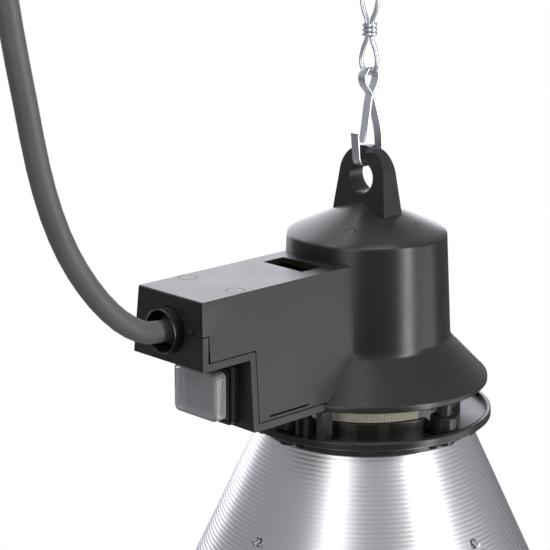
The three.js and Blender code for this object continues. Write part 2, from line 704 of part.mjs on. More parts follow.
// ---------------------------------------------------------------- lampholder and lamp
function lampholder() {
  const h = holder;
  return revolve([
    [0, -h.stubTop],
    [h.stubR, -h.stubTop],
    [h.stubR, -h.top],
    [h.outerR - 3, -h.top],
    [h.outerR - 1, -h.top - 2],
    [h.outerR - 1, -h.boreTop + 2],
    [h.outerR, -h.boreTop],
    [h.outerR, -h.bottom + 7],
    [h.outerR + 2.4, -h.bottom + 6],
    [h.outerR + 2.4, -h.bottom + 1],
    [h.outerR + 1.2, -h.bottom],
    [h.bore + 0.4, -h.bottom],
    [h.bore, -h.bottom + 2],
    [h.bore, -h.boreTop],
    [0, -h.boreTop],
  ], 32);
}

const capTopZ = -(holder.bottom - 24);
const bulbCapBottom = capTopZ - bulb.capLength;

function socketShell() {
  return revolveRing([
    [holder.bore - GAP, -holder.bottom + 5],
    [holder.bore - GAP, capTopZ + 3],
    [holder.bore - GAP - 1, capTopZ + 3],
    [holder.bore - GAP - 1, -holder.bottom + 5],
  ], 24);
}

const nutTop = -bracketPost.bottom + 2.6;
const holderNut = () =>
  cut(rodZ(7, 0, 0, nutTop - 2.6, nutTop, 6), rodZ(holder.stubR + 2 * GAP, 0, 0, nutTop - 5, nutTop + 5));

function bulbCap() {
  const r = bulb.capR;
  const profile = [[0, capTopZ - 1]];
  profile.push([r - 3, capTopZ - 1], [r - 1, capTopZ - 4]);
  for (let turn = 0; turn < 3; turn++) {
    const z = capTopZ - 5.5 - turn * 5;
    profile.push([r - 1, z + 1.5], [r, z], [r - 1, z - 1.5]);
  }
  return revolve([...profile, [r - 1, bulbCapBottom], [0, bulbCapBottom]], 20);
}

// The blown and pressed envelope, open at its neck where the cap closes it.
function bulbGlass() {
  const bottom = capTopZ - bulb.length;
  const top = bulbCapBottom - GAP;
  const [neckZ, lensZ] = [top - 14, bottom + 13];
  const flare = [[0, 0], [0.24, 0.28], [0.48, 0.5], [0.72, 0.72], [0.88, 0.86], [0.97, 0.95]];
  const side = [
    [15.5, top],
    ...flare.map(([out, down]) => [20 + (bulb.lensR - 20) * out, neckZ + (lensZ - neckZ) * down]),
    [bulb.lensR, lensZ],
  ];
  const edge = bulb.lensR;
  const lens = [[edge - 0.8, lensZ - 5], [edge - 7, lensZ - 8.6], [edge * 0.6, bottom + 1.4]];
  const inner = [...side].reverse().map(([r, z]) => [r - bulb.wall, Math.min(z, top)]);
  const floor = [[0, bottom + bulb.wall], [edge * 0.6, bottom + bulb.wall + 1.4], [edge - 8, lensZ - 6]];
  return revolve([...side, ...lens, [0, bottom], ...floor, ...inner, side[0]], 30);
}

function centreContact() {
  const top = -holder.boreTop - GAP;
  return revolve([[0, top], [5, top], [5, top - 1.1], [2.4, top - 4], [0, top - 4]], 12);
}

function holderBracket() {
  const z = -bracketPost.bottom - GAP;
  const plate = prismZ(roundedRect(8, 30, 3), z - 2, z, 3);
  const holes = [-1, 1].map((s) => rodZ(1.8, 0, s * bracketPost.y, z - 5, z + 5, 10));
  return cut(plate, ...holes, rodZ(4, 0, 0, z - 5, z + 5));
}

// ---------------------------------------------------------------- chain and hooks
// A flat ribbon of metal along a curve in XZ, as wide as the strip in Y.
function ribbon(points, ends = [0, 0]) {
  const curve = new StepCurve(points.map(([x, z]) => [x, 0, z]));
  const count = curve.spans * 2;
  const sides = [[], []];
  for (let i = 0; i <= count; i++) {
    const place = curve.getPointAt(i / count);
    const along = curve.getTangentAt(i / count);
    const across = new THREE.Vector2(-along.z, along.x).normalize().multiplyScalar(strip.thick / 2);
    sides[0].push([place.x + across.x, place.z + across.y]);
    sides[1].unshift([place.x - across.x, place.z - across.y]);
  }
  return prismY(polygon([...sides[0], ...sides[1]]), -strip.width / 2 + ends[0], strip.width / 2 - ends[1]);
}

// Where the strip bears in the eye.
const gripZ = Math.sqrt(eye.radius ** 2 - (strip.width / 2) ** 2) + eye.height - GAP;
const hookTop = gripZ + 45.4;
const crossZ = gripZ + 32;

// The spring hook is one strip: a gate leg, a small closed loop and a back leg that ends in the open hook.
function stripHook() {
  const t = strip.thick / 2;
  const gate = [
    [-3.3, gripZ + 9.6],
    [-1.8, gripZ + 19],
    [0.7, crossZ],
    [3.9, crossZ + 5.2],
    [4.5, crossZ + 9.4],
    [0.9, hookTop - t],
    [-0.6, hookTop - t],
  ];
  const back = [
    [0.9, hookTop - t],
    [-0.6, hookTop - t],
    [-4.2, crossZ + 9.4],
    [-3.5, crossZ + 5.2],
    [0.7, crossZ],
    [4.6, crossZ - 10.5],
    [6.7, gripZ + 14],
    [7.3, gripZ + 6],
    [6.9, gripZ + 1.8],
    [5.6, gripZ - t + 0.25],
    [4, gripZ - t],
    [-4, gripZ - t],
    [-5.8, gripZ - t + 0.25],
    [-7.2, gripZ + 1.8],
    [-7.9, gripZ + 6],
    [-8.8, gripZ + 15],
  ];
  return union(ribbon(gate), ribbon(back));
}

// One link of knotted chain: a wire bent to a figure of eight, its ends wound round the waist.
function chainLink() {
  const halfL = (link.length - wire) / 2;
  const halfW = (link.width - wire) / 2;
  const quarter = [
    [0, -halfL],
    [halfW * 0.72, -halfL + 1.5],
    [halfW, -halfL + 5.2],
    [halfW * 0.8, -halfL * 0.47],
    [link.waist / 2 + 0.5, -link.knotHeight * 0.62],
    [link.waist / 2, 0],
  ];
  const right = [...quarter, ...quarter.slice(0, -1).reverse().map(([y, z]) => [y, -z])];
  const left = right.slice(1, -1).reverse().map(([y, z]) => [-y, z]);
  const eight = loop([...right, ...left].map(([y, z]) => [0, y, z]), wire / 2, 2, 5);
  const turns = 3;
  const barrel = [[0, link.knotHeight / 2]];
  const [low, high] = [0.75, 1];
  for (let i = 0; i < turns; i++) {
    const z = link.knotHeight / 2 - (link.knotHeight / turns) * i;
    barrel.push([low, z], [high, z - link.knotHeight / turns / 2]);
  }
  barrel.push([low, -link.knotHeight / 2], [0, -link.knotHeight / 2]);
  const wound = revolve(barrel, 8).scale([wire * 1.35, wire * 1.75, 1]);
  return union(eight, wound);
}

const linkPitch = link.length - 2 * wire - GAP;
const linkSeat = 1; // a link's round end bears on both edges of the strip, this much above its lowest point
const linkCentre = (i) => hookTop - strip.thick - linkSeat - wire + link.length / 2 + i * linkPitch;
const mirrorZ = (linkCentre(0) + linkCentre(link.count - 1)) / 2; // the top hook is the lower one turned over
const hangZ = 2 * mirrorZ - gripZ; // the inside of the top hook

// ---------------------------------------------------------------- mains lead
const coilZ = linkCentre(link.count - 1) - coil.midR;
const coilOuter = coil.midR + (coil.radialLayers * cord.diameter) / 2;
const coilInner = coil.midR - (coil.radialLayers * cord.diameter) / 2;
const coilHalfY = (coil.axialLayers * cord.diameter) / 2;

// The lead leaves the gland, bows out and up, and comes back over to the top of the coil.
const leadRoute = [
  [grommetFace - GAP, 0, -gland.depth],
  [-136, 0, -23.2],
  [-146, 0, -18.6],
  [-157, 0, -9.8],
  [-168.5, 0, 3.5],
  [-178.4, 0, 19],
  [-186.4, 0, 37],
  [-192.6, 0, 58],
  [-198, 0, 85],
  [-203.4, 0.5, 115],
  [-206.6, 1.5, 144],
  [-204.4, 3, 173],
  [-194, 5, 202],
  [-172.6, 7.5, 227],
  [-143, 9.6, 244.5],
  [-110, 11.4, 253.6],
  [-76, 12.6, 255.4],
  [-52, 13, 253.6],
];

function leadSpan() {
  return rod(leadRoute, cord.diameter / 2, 2, cord.sides);
}

function leadCoil() {
  const section = [
    [coilInner, -coilHalfY],
    [coilOuter, -coilHalfY],
    [coilOuter, coilHalfY],
    [coilInner, coilHalfY],
  ];
  return revolveRing(section, 48)
    .rotate([90, 0, 0])
    .translate([0, coil.y, coilZ]);
}

// A round tie passes in front of the knot of the last link, under the coil and back behind the knot.
function coilTie() {
  const z = linkCentre(link.count - 1);
  const r = 1.3;
  const high = z + cord.diameter + r + 1.2;
  const low = z - cord.diameter - r - 1.2;
  const near = -6.4;
  const far = coil.y + coilHalfY + r + 1.5;
  const points = [
    [0, near - 0.6, z],
    [2.2, near + 1.4, high - 3],
    [3.6, near + 5, high],
    [3.6, (near + far) / 2, high],
    [2.4, far - 3, high - 0.4],
    [0.8, far, high - 6],
    [-0.8, far, low + 6],
    [-2.4, far - 3, low + 0.4],
    [-3.6, (near + far) / 2, low],
    [-3.6, near + 5, low],
    [-2.2, near + 1.4, low + 3],
  ];
  return loop(points, r, 3, 5);
}

// The last turn runs off the coil's outer layer in a straight line, and the plug hangs on it.
const tailAngle = THREE.MathUtils.degToRad(30);
const tailR = coilOuter - cord.diameter / 2;
const tailRun = Math.sqrt((coilOuter + 5.5) ** 2 - tailR ** 2);
const plugPlace = [
  tailR * Math.cos(tailAngle) + tailRun * Math.sin(tailAngle),
  coil.y,
  coilZ + tailR * Math.sin(tailAngle) - tailRun * Math.cos(tailAngle),
];

// The plug is drawn pointing down its own -Z, with its strain relief at the origin.
function plugBody() {
  const p = plug;
  const full = p.reliefLength + p.bodyLength;
  const body = revolve([
    [0, 0],
    [cord.diameter / 2 + 0.9, 0],
    [cord.diameter / 2 + 2.6, -p.reliefLength],
    [p.bodyR * 0.62, -p.reliefLength - 5],
    [p.bodyR * 0.86, -p.reliefLength - 14],
    [p.bodyR, -full + 9],
    [p.bodyR, -full],
    [0, -full],
  ], 24);
  const notches = [-1, 1].map((s) =>
    box(s * p.bodyR - 2.4, s * p.bodyR + 2.4, -2.6, 2.6, -full - 1, -full + 17),
  );
  const pins = [-1, 1].map((s) => rodZ(p.pinR + GAP, 0, (s * p.pinPitch) / 2, -full - 1, -full + 8, 10));
  return cut(body, ...notches, ...pins);
}

function plugPin(side) {
  const full = plug.reliefLength + plug.bodyLength;
  const y = (side * plug.pinPitch) / 2;
  return union(
    rodZ(plug.pinR, 0, y, -full - plug.pinLength + 1.2, -full + 7.6, 10),
    rodZ(plug.pinR * 0.6, 0, y, -full - plug.pinLength, -full - plug.pinLength + 1.4, 10),
  );
}

// ---------------------------------------------------------------- assembly
const product = new THREE.Group();
product.position.z = -hangZ;

function place(parent, name, solid, material) {
  const mesh = new THREE.Mesh(toGeometry(solid), material);
  mesh.name = name;
  parent.add(mesh);
  return mesh;
}

const lamp = new THREE.Group();
const suspension = new THREE.Group();
product.add(lamp, suspension);

place(lamp, "housing", housing(), blackPlastic);
place(lamp, "arm_cover", armCover(), blackPlastic);
place(lamp, "gland_ring", glandRing(), blackPlastic);
place(lamp, "cord_grommet", cordGrommet(), glossBlack);
place(lamp, "cord_clamp", cordClamp(), blackPlastic);
clampPlaces.forEach(([x, y], i) =>
  place(lamp, `clamp_screw_${i + 1}`, panScrew(x, y, clampTop + GAP, -12, 3, 1.6), zinc),
);
place(lamp, "terminal_block", terminalBlock(), porcelain);
coverScrewPlaces.forEach(([x, y], i) =>
  place(lamp, `cover_screw_${i + 1}`, panScrew(x, y, -arm.depth - GAP, 10), zinc),
);

place(lamp, "switch_bezel", switchBezel(), glossBlack);
place(lamp, "switch_body", switchBody(), glossBlack);
place(lamp, "switch_hood", switchHood(), clear);
const rocker = place(lamp, "switch_rocker", switchRocker(), glossBlack);
rocker.position.set(rockerPivotX, 0, switchZ);
rocker.rotation.z = THREE.MathUtils.degToRad(switchUnit.tilt);

place(lamp, "mounting_flange", mountingFlange(), blackPlastic);
place(lamp, "air_ring", ribbedAirRing(), fibre);
place(lamp, "reflector", reflectorCone(), aluminium);
place(lamp, "reflector_clamp", clampRing(), zinc);
around(boss.count, boss.pitchR, (x, y, i) =>
  place(lamp, `flange_screw_${i + 1}`, panScrew(x, y, -boss.lowBottom + screwSink - GAP, 20), zinc),
);
around(ringScrew.count, ringScrew.pitchR, (x, y, i) => {
  const under = reflectorTop - reflector.thick - GAP - 1.8 - GAP;
  place(lamp, `ring_screw_${i + 1}`, panScrew(x, y, under, 8, 2.6, 1.6), zinc);
}, Math.PI / 4);
place(lamp, "wire_guard", wireGuard(), zinc);

place(lamp, "lampholder", lampholder(), porcelain);
place(lamp, "socket_shell", socketShell(), brass);
place(lamp, "centre_contact", centreContact(), brass);
place(lamp, "holder_bracket", holderBracket(), zinc);
place(lamp, "holder_nut", holderNut(), brass);
[-1, 1].forEach((s, i) =>
  place(
    lamp,
    `bracket_screw_${i + 1}`,
    panScrew(0, s * bracketPost.y, -bracketPost.bottom - 2 - 2 * GAP, 10),
    zinc,
  ),
);
place(lamp, "bulb_cap", bulbCap(), brass);
place(lamp, "bulb_glass", bulbGlass(), glass);

place(suspension, "snap_hook", stripHook(), zinc);
const topHook = place(suspension, "ceiling_hook", stripHook(), zinc);
topHook.rotation.x = Math.PI;
topHook.position.z = 2 * mirrorZ;
for (let i = 0; i < link.count; i++) {
  const piece = place(suspension, `chain_link_${i + 1}`, chainLink(), zinc);
  piece.position.z = linkCentre(i);
  piece.rotation.z = (i % 2) * (Math.PI / 2);
}

place(suspension, "lead_span", leadSpan(), rubber);
place(suspension, "lead_coil", leadCoil(), rubber);
place(suspension, "coil_tie", coilTie(), glossBlack);
const plugGroup = new THREE.Group();
plugGroup.position.set(...plugPlace);
plugGroup.rotation.y = -tailAngle;
suspension.add(plugGroup);
place(plugGroup, "plug_body", plugBody(), glossBlack);
[-1, 1].forEach((s, i) => place(plugGroup, `plug_pin_${i + 1}`, plugPin(s), brass));

export default product;
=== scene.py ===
"""Looks for a hanging heat and grow lamp.

A moulded housing with a terminal arm, a spun reflector with its guard and bulb, a knotted chain and a lead.
"""

import math

import bmesh
import bpy
from mathutils import Matrix, Vector


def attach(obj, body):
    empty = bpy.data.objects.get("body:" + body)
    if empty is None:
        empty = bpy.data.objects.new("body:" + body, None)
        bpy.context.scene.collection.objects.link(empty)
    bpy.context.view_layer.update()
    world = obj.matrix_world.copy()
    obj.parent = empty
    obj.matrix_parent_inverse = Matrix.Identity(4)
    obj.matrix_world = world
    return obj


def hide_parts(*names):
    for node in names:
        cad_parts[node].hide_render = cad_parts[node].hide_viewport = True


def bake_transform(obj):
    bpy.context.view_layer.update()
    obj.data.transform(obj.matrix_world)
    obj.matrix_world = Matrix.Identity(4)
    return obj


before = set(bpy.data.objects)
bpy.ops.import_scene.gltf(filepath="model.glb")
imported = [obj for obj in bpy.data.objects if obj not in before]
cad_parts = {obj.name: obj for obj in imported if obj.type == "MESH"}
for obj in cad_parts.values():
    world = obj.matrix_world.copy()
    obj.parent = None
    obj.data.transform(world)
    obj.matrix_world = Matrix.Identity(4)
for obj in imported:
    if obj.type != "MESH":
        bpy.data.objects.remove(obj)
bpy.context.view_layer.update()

# ---------------------------- sizes, in millimetres
MM = 0.001
HANG = 308.871  # the housing's top rim lies this far under the inside of the top hook
WALL = 2.8

CAP_R, CAP_FOOT_R, CAP_DEPTH, CAP_SLOPE = 38.0, 40.7, 51.2, 0.445
SKIRT_R, SKIRT_DEPTH = 58.5, 72.2
EYE_R, EYE_Z, EYE_TOP_R = 7.5, 25.9, 14.2
ARM_END, ARM_HALF, ARM_TOP, ARM_END_DEPTH, ARM_DEPTH = 123.5, 21.0, 8.1, 38.8, 71.8
NOTCH_X, SIDE_DRAFT, END_DRAFT = 97.4, 0.069, 0.053
COVER_THICK, SPLIT_DEPTH, PARTING = 3.4, 23.3, 0.3
GLAND_DEPTH, GLAND_R, GLAND_BORE = 24.0, 10.1, 9.0
SWITCH_DEPTH = 56.2
FLANGE_R, FLANGE_EDGE_TOP, FLANGE_TOP, FLANGE_BOTTOM = 60.6, 85.8, 88.2, 90.6
RIBBED_INNER_R = 40.4
BOSSES, BOSS_PITCH_R, BOSS_TOP, BOSS_BOTTOM = 4, 51.0, 79.8, 93.8
CLAMP_PITCH_R, CLAMP_TURN = 41.6, math.pi / 4
SECTORS = (45, 135, 225, 315)  # the middles of the four openings between the bosses, in degrees
NECK_R, NECK_DEPTH, MOUTH_R, CONE_SLOPE = 51.4, 95.6, 105.0, 0.4575
GUARD_WIRE, GUARD_HOOKS, GUARD_HOOK_DEPTH, GUARD_FLOOR = 2.4, 4, 138.0, 252.0
PILOT_R, SCREW_HOLE_R = 1.7, 1.8
LINK_PITCH, FIRST_LINK, LINKS = 37.9, 94.971, 5
STRIP_WIDTH, STRIP_THICK = 5.0, 1.2
CORD_D = 10.0
COIL_Y, COIL_R_INNER, COIL_R_OUTER = 23.0, 55.0, 65.0

LAST_LINK = FIRST_LINK + (LINKS - 1) * LINK_PITCH
COIL_Z = LAST_LINK - 60.0
GRIP_Z = math.sqrt(EYE_R ** 2 - (STRIP_WIDTH / 2) ** 2) + EYE_Z - 0.3
HOOK_TOP = GRIP_Z + 45.4


def metres(x, y, z):
    """A point of the lamp, in millimetres about its own axis, as a point of the row's frame."""
    return Vector((x * MM, y * MM, (z - HANG) * MM))


# ---------------------------- camera
camera_data = bpy.data.cameras.new("camera")
camera_data.lens = 133.7
camera_data.sensor_width = 36.0
camera = bpy.data.objects.new("camera", camera_data)
bpy.context.scene.collection.objects.link(camera)
camera.location = metres(-682.1, -647.8, 224.6)
camera.rotation_mode = "QUATERNION"
camera.rotation_quaternion = Vector((0.670, 0.698, -0.254)).to_track_quat("-Z", "Y")
bpy.context.scene.camera = camera


# ---------------------------- making meshes
def new_object(name, verts, faces):
    mesh = bpy.data.meshes.new(name)
    mesh.from_pydata([tuple(v) for v in verts], [], faces)
    work = bmesh.new()
    work.from_mesh(mesh)
    bmesh.ops.recalc_face_normals(work, faces=work.faces)
    work.to_mesh(mesh)
    work.free()
    obj = bpy.data.objects.new(name, mesh)
    bpy.context.scene.collection.objects.link(obj)
    return obj


def revolve(profile, steps=96, ring=False):
    """A profile of (radius, z) turned about Z; a ring profile closes on itself."""
    verts, rows, faces = [], [], []
    for r, z in profile:
        if r < 1e-6:
            rows.append([len(verts)] * steps)
            verts.append((0.0, 0.0, z))
            continue
        rows.append(list(range(len(verts), len(verts) + steps)))
        for i in range(steps):
            a = 2 * math.pi * i / steps
            verts.append((r * math.cos(a), r * math.sin(a), z))
    pairs = list(zip(rows, rows[1:])) + ([(rows[-1], rows[0])] if ring else [])
    for low, high in pairs:
        for i in range(steps):
            j = (i + 1) % steps
            corners = [low[i], low[j], high[j], high[i]]
            face = list(dict.fromkeys(corners))
            if len(face) > 2:
                faces.append(face)
    return new_object("turned", verts, faces)


PUT = {
    "X": lambda u, v, w: (w, u, v),
    "Y": lambda u, v, w: (u, w, v),
    "Z": lambda u, v, w: (u, v, w),
}


def prism(outline, axis, low, high):
    """A closed outline run along an axis; the outline lies in YZ, XZ or XY."""
    put, count = PUT[axis], len(outline)
    verts = [put(u, v, low) for u, v in outline] + [put(u, v, high) for u, v in outline]
    faces = [list(range(count)), list(range(2 * count - 1, count - 1, -1))]
    for i in range(count):
        j = (i + 1) % count
        faces.append([i, j, count + j, count + i])
    return new_object("prism", verts, faces)


def rounded(points, radius, steps=4):
    """The outline with each corner rounded; a radius may be given per corner."""
    count, out = len(points), []
    radii = radius if isinstance(radius, (list, tuple)) else [radius] * count
    for i, (u, v) in enumerate(points):
        corner = Vector((u, v))
        back = Vector(points[i - 1]) - corner
        ahead = Vector(points[(i + 1) % count]) - corner
        reach = min(radii[i], back.length * 0.48, ahead.length * 0.48)
        if reach < 0.02:
            out.append((u, v))
            continue
        a, b = corner + back.normalized() * reach, corner + ahead.normalized() * reach
        for k in range(steps + 1):
            t = k / steps
            p = a * (1 - t) ** 2 + corner * 2 * t * (1 - t) + b * t * t
            out.append((p.x, p.y))
    return out


def rectangle(half_u, half_v, radius, steps=5, centre=(0.0, 0.0)):
    cu, cv = centre
    corners = [
        (cu - half_u, cv - half_v), (cu + half_u, cv - half_v), (cu + half_u, cv + half_v),
        (cu - half_u, cv + half_v),
    ]
    return rounded(corners, radius, steps)


def circle(radius, steps, centre=(0.0, 0.0)):
    turn = 2 * math.pi / steps
    return [
        (centre[0] + radius * math.cos(turn * i), centre[1] + radius * math.sin(turn * i))
        for i in range(steps)
    ]


def block(x0, x1, y0, y1, z0, z1):
    return prism([(x0, y0), (x1, y0), (x1, y1), (x0, y1)], "Z", z0, z1)


def post(radius, x, y, z0, z1, steps=32):
    return prism(circle(radius, steps, (x, y)), "Z", z0, z1)


def bake(obj):
    """Applies the modifiers that an object carries."""
    graph = bpy.context.evaluated_depsgraph_get()
    mesh = bpy.data.meshes.new_from_object(obj.evaluated_get(graph))
    obj.modifiers.clear()
    old, obj.data = obj.data, mesh
    bpy.data.meshes.remove(old)
    return obj


def combine(how, base, *tools):
    """Joins, cuts or intersects a solid with others, one by one."""
    for tool in tools:
        step = base.modifiers.new("solid", "BOOLEAN")
        step.operation = how
        step.solver = "EXACT"
        step.object = tool
    bake(base)
    for tool in tools:
        bpy.data.objects.remove(tool)
    return base


def union(base, *tools):
    return combine("UNION", base, *tools)


def cut(base, *tools):
    return combine("DIFFERENCE", base, *tools)


def meet(base, *tools):
    return combine("INTERSECT", base, *tools)


def eased(obj, width):
    """Rounds the sharp edges of a solid."""
    step = obj.modifiers.new("eased", "BEVEL")
    step.width, step.segments = width, 3
    step.limit_method, step.angle_limit = "ANGLE", math.radians(50)
    return bake(obj)


def gather(objects):
    """Puts separate closed shells in one object."""
    verts, faces = [], []
    for obj in objects:
        start = len(verts)
        verts += [obj.matrix_world @ v.co for v in obj.data.vertices]
        faces += [[start + i for i in p.vertices] for p in obj.data.polygons]
        bpy.data.objects.remove(obj)
    return new_object("gathered", verts, faces)


def smooth(points, per_span, closed=False):
    """A centripetal spline through the points, with the same number of steps in each span."""
    pts = [Vector(p) for p in points]
    count, out = len(pts), []
    spans = count if closed else count - 1
    for i in range(spans):
        if closed:
            p = [pts[(i + k) % count] for k in (-1, 0, 1, 2)]
        else:
            p = [
                pts[i - 1] if i else pts[0] * 2 - pts[1],
                pts[i],
                pts[i + 1],
                pts[i + 2] if i + 2 < count else pts[-1] * 2 - pts[-2],
            ]
        t = [0.0]
        for a, b in zip(p, p[1:]):
            t.append(t[-1] + max((b - a).length, 1e-6) ** 0.5)
        for k in range(per_span):
            s = t[1] + (t[2] - t[1]) * k / per_span
            a = [
                p[j] * ((t[j + 1] - s) / (t[j + 1] - t[j])) + p[j + 1] * ((s - t[j]) / (t[j + 1] - t[j]))
                for j in range(3)
            ]
            b = [
                a[j] * ((t[j + 2] - s) / (t[j + 2] - t[j])) + a[j + 1] * ((s - t[j]) / (t[j + 2] - t[j]))
                for j in range(2)
            ]
            out.append(b[0] * ((t[2] - s) / (t[2] - t[1])) + b[1] * ((s - t[1]) / (t[2] - t[1])))
    if not closed:
        out.append(pts[-1])
    return out


def sweep(path, section, closed=False, upright=None):
    """A section of (across, up) offsets carried along a path; upright fixes its across direction."""
    count = len(path)
    tangents = []
    for i in range(count):
        a = path[i - 1] if closed or i else path[0]
        b = path[(i + 1) % count] if closed or i < count - 1 else path[-1]
        tangents.append((b - a).normalized())
    side = upright or tangents[0].orthogonal().normalized()
    frames = []
    for tangent in tangents:
        side = (side - tangent * side.dot(tangent)).normalized()
        frames.append((side, tangent.cross(side)))
    twist = 0.0
    if closed and upright is None:
        last = (frames[-1][0] - tangents[0] * frames[-1][0].dot(tangents[0])).normalized()
        twist = math.atan2(last.cross(frames[0][0]).dot(tangents[0]), last.dot(frames[0][0]))
    verts, faces, around = [], [], len(section)
    for i, (place, (across, up)) in enumerate(zip(path, frames)):
        turn = twist * i / count
        c, s = math.cos(turn), math.sin(turn)
        for u, v in section:
            verts.append(place + across * (u * c - v * s) + up * (u * s + v * c))
    for i in range(count if closed else count - 1):
        for k in range(around):
            n, m = (i + 1) % count, (k + 1) % around
            faces.append([i * around + k, i * around + m, n * around + m, n * around + k])
    if not closed:
        faces.append(list(range(around)))
        faces.append([(count - 1) * around + k for k in range(around)])
    return new_object("swept", verts, faces)


def wire(points, radius, per_span=4, sides=12, closed=False):
    return sweep(smooth(points, per_span, closed), circle(radius, sides), closed)


def turned(obj, angle):
    obj.data.transform(Matrix.Rotation(angle, 4, "Z"))
    return obj


def moved(obj, x=0.0, y=0.0, z=0.0):
    obj.data.transform(Matrix.Translation((x, y, z)))
    return obj


def around(count, radius, offset=0.0):
    """Equal places on a circle, as x, y and angle."""
    for i in range(count):
        a = offset + 2 * math.pi * i / count
        yield radius * math.cos(a), radius * math.sin(a), a


def finished(obj, name, body, material, nodes=(), crease=32.0, weigh=True):
    """Names a piece, brings it to metres, shades it and hangs it on its body."""
    obj.name = obj.data.name = name
    obj.data.transform(Matrix.Translation((0, 0, -HANG * MM)) @ Matrix.Scale(MM, 4))
    obj.data.shade_smooth()
    obj.data.set_sharp_from_angle(angle=math.radians(crease))
    obj.data.materials.clear()
    obj.data.materials.append(material)
    if weigh:
        normals = obj.modifiers.new("normals", "WEIGHTED_NORMAL")
        normals.keep_sharp = True
    if body:
        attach(obj, body)
    if nodes:
        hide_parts(*nodes)
    return obj


# ---------------------------- shared effects
def group(name, inputs, outputs):
    """An empty node group with named sockets and their first values."""
    made = bpy.data.node_groups.new(name, "ShaderNodeTree")
    kinds = {"F": "NodeSocketFloat", "C": "NodeSocketColor", "V": "NodeSocketVector"}
    for label, kind, value in inputs:
        socket = made.interface.new_socket(name=label, in_out="INPUT", socket_type=kinds[kind])
        socket.default_value = value
    for label, kind in outputs:
        made.interface.new_socket(name=label, in_out="OUTPUT", socket_type=kinds[kind])
    nodes = made.nodes
    return made, nodes.new("NodeGroupInput"), nodes.new("NodeGroupOutput")


def add(tree, kind, inputs=None, **settings):
    """A node with its settings; inputs are values, or sockets to link from."""
    node = tree.nodes.new(kind)
    for key, value in settings.items():
        setattr(node, key, value)
    for key, value in (inputs or {}).items():
        if isinstance(value, bpy.types.NodeSocket):
            tree.links.new(value, node.inputs[key])
        else:
            node.inputs[key].default_value = value
    return node


def link(tree, value, node, socket):
    tree.links.new(value, node.inputs[socket])


def math_node(tree, operation, a, b=0.0, clamp=False):
    return add(tree, "ShaderNodeMath", {0: a, 1: b}, operation=operation, use_clamp=clamp).outputs[0]


def object_place(tree):
    return add(tree, "ShaderNodeTexCoord").outputs["Object"]


def make_grain():
    """Fine moulded or cast grain: a height and a slow mottling mask."""
    tree, given, out = group(
        "surface_grain",
        [("Size", "F", 900.0), ("Strength", "F", 1.0)],
        [("Height", "F"), ("Mottle", "F")],
    )
    place = object_place(tree)
    fine = add(tree, "ShaderNodeTexNoise", {"Vector": place, "Scale": given.outputs["Size"], "Detail": 3.0})
    slow = add(tree, "ShaderNodeTexNoise", {"Vector": place, "Scale": 38.0, "Detail": 2.0})
    link(tree, math_node(tree, "MULTIPLY", fine.outputs["Fac"], given.outputs["Strength"]), out, "Height")
    link(tree, slow.outputs["Fac"], out, "Mottle")
    return tree


def make_wear():
    """Edge wear: a mask that is one on rubbed corners."""
    tree, given, out = group(
        "edge_wear", [("Start", "F", 0.53), ("Amount", "F", 1.0)], [("Mask", "F")]
    )
    edge = add(tree, "ShaderNodeNewGeometry").outputs["Pointiness"]
    raised = math_node(
        tree, "MULTIPLY", math_node(tree, "SUBTRACT", edge, given.outputs["Start"]), 14.0, True
    )
    broken = add(tree, "ShaderNodeTexNoise", {"Vector": object_place(tree), "Scale": 160.0, "Detail": 3.0})
    worn = math_node(tree, "MULTIPLY", raised, broken.outputs["Fac"])
    link(tree, math_node(tree, "MULTIPLY", worn, given.outputs["Amount"], True), out, "Mask")
    return tree


def make_dust_sheen():
    """Dust that settles on faces that look up, and a painted sheen: the same upward faces are lightened as if
    lit from above.
    """
    tree, given, out = group("dust_and_top_sheen", [("Amount", "F", 0.3)], [("Mask", "F")])
    normal = add(tree, "ShaderNodeNewGeometry").outputs["Normal"]
    up = add(tree, "ShaderNodeSeparateXYZ", {"Vector": normal}).outputs["Z"]
    facing = math_node(tree, "POWER", math_node(tree, "MAXIMUM", up, 0.0), 3.0)
    patchy = add(tree, "ShaderNodeTexNoise", {"Vector": object_place(tree), "Scale": 60.0, "Detail": 4.0})
    # The mask for upward faces serves both settled dust and a painted sheen of light from above.
    dust_sheen_layer = math_node(tree, "MULTIPLY", facing, patchy.outputs["Fac"])
    link(tree, math_node(tree, "MULTIPLY", dust_sheen_layer, given.outputs["Amount"], True), out, "Mask")
    return tree


def make_lines():
    """Turning marks: fine level lines and soft sideways variation, as a height and a mask."""
    tree, given, out = group(
        "turning_marks", [("Pitch", "F", 5200.0), ("Strength", "F", 1.0)], [("Height", "F"), ("Mask", "F")]
    )
    place = add(tree, "ShaderNodeSeparateXYZ", {"Vector": object_place(tree)})
    level = math_node(tree, "MULTIPLY", place.outputs["Z"], given.outputs["Pitch"])
    seed = add(tree, "ShaderNodeCombineXYZ", {"Z": level})
    lines = add(tree, "ShaderNodeTexNoise", {"Vector": seed.outputs[0], "Scale": 1.0, "Detail": 2.0})
    cloud = add(tree, "ShaderNodeTexNoise", {"Vector": object_place(tree), "Scale": 26.0, "Detail": 3.0})
    link(tree, math_node(tree, "MULTIPLY", lines.outputs["Fac"], given.outputs["Strength"]), out, "Height")
    link(tree, math_node(tree, "MULTIPLY", lines.outputs["Fac"], cloud.outputs["Fac"]), out, "Mask")
    return tree


GRAIN, WEAR, DUST_SHEEN, LINES = make_grain(), make_wear(), make_dust_sheen(), make_lines()


def placed(tree, made, **values):
    node = tree.nodes.new("ShaderNodeGroup")
    node.node_tree = made
    for key, value in values.items():
        node.inputs[key].default_value = value
    return node


def blend_colour(tree, mask, first, second):
    node = add(tree, "ShaderNodeMix", data_type="RGBA")
    for socket, value in (
        (node.inputs["Factor"], mask), (node.inputs["A"], first), (node.inputs["B"], second)
    ):
        if isinstance(value, bpy.types.NodeSocket):
            tree.links.new(value, socket)
        else:
            socket.default_value = value
    return node.outputs["Result"]


def ramp(tree, value, low, high):
    return add(tree, "ShaderNodeMapRange", {"Value": value, "To Min": low, "To Max": high}).outputs["Result"]


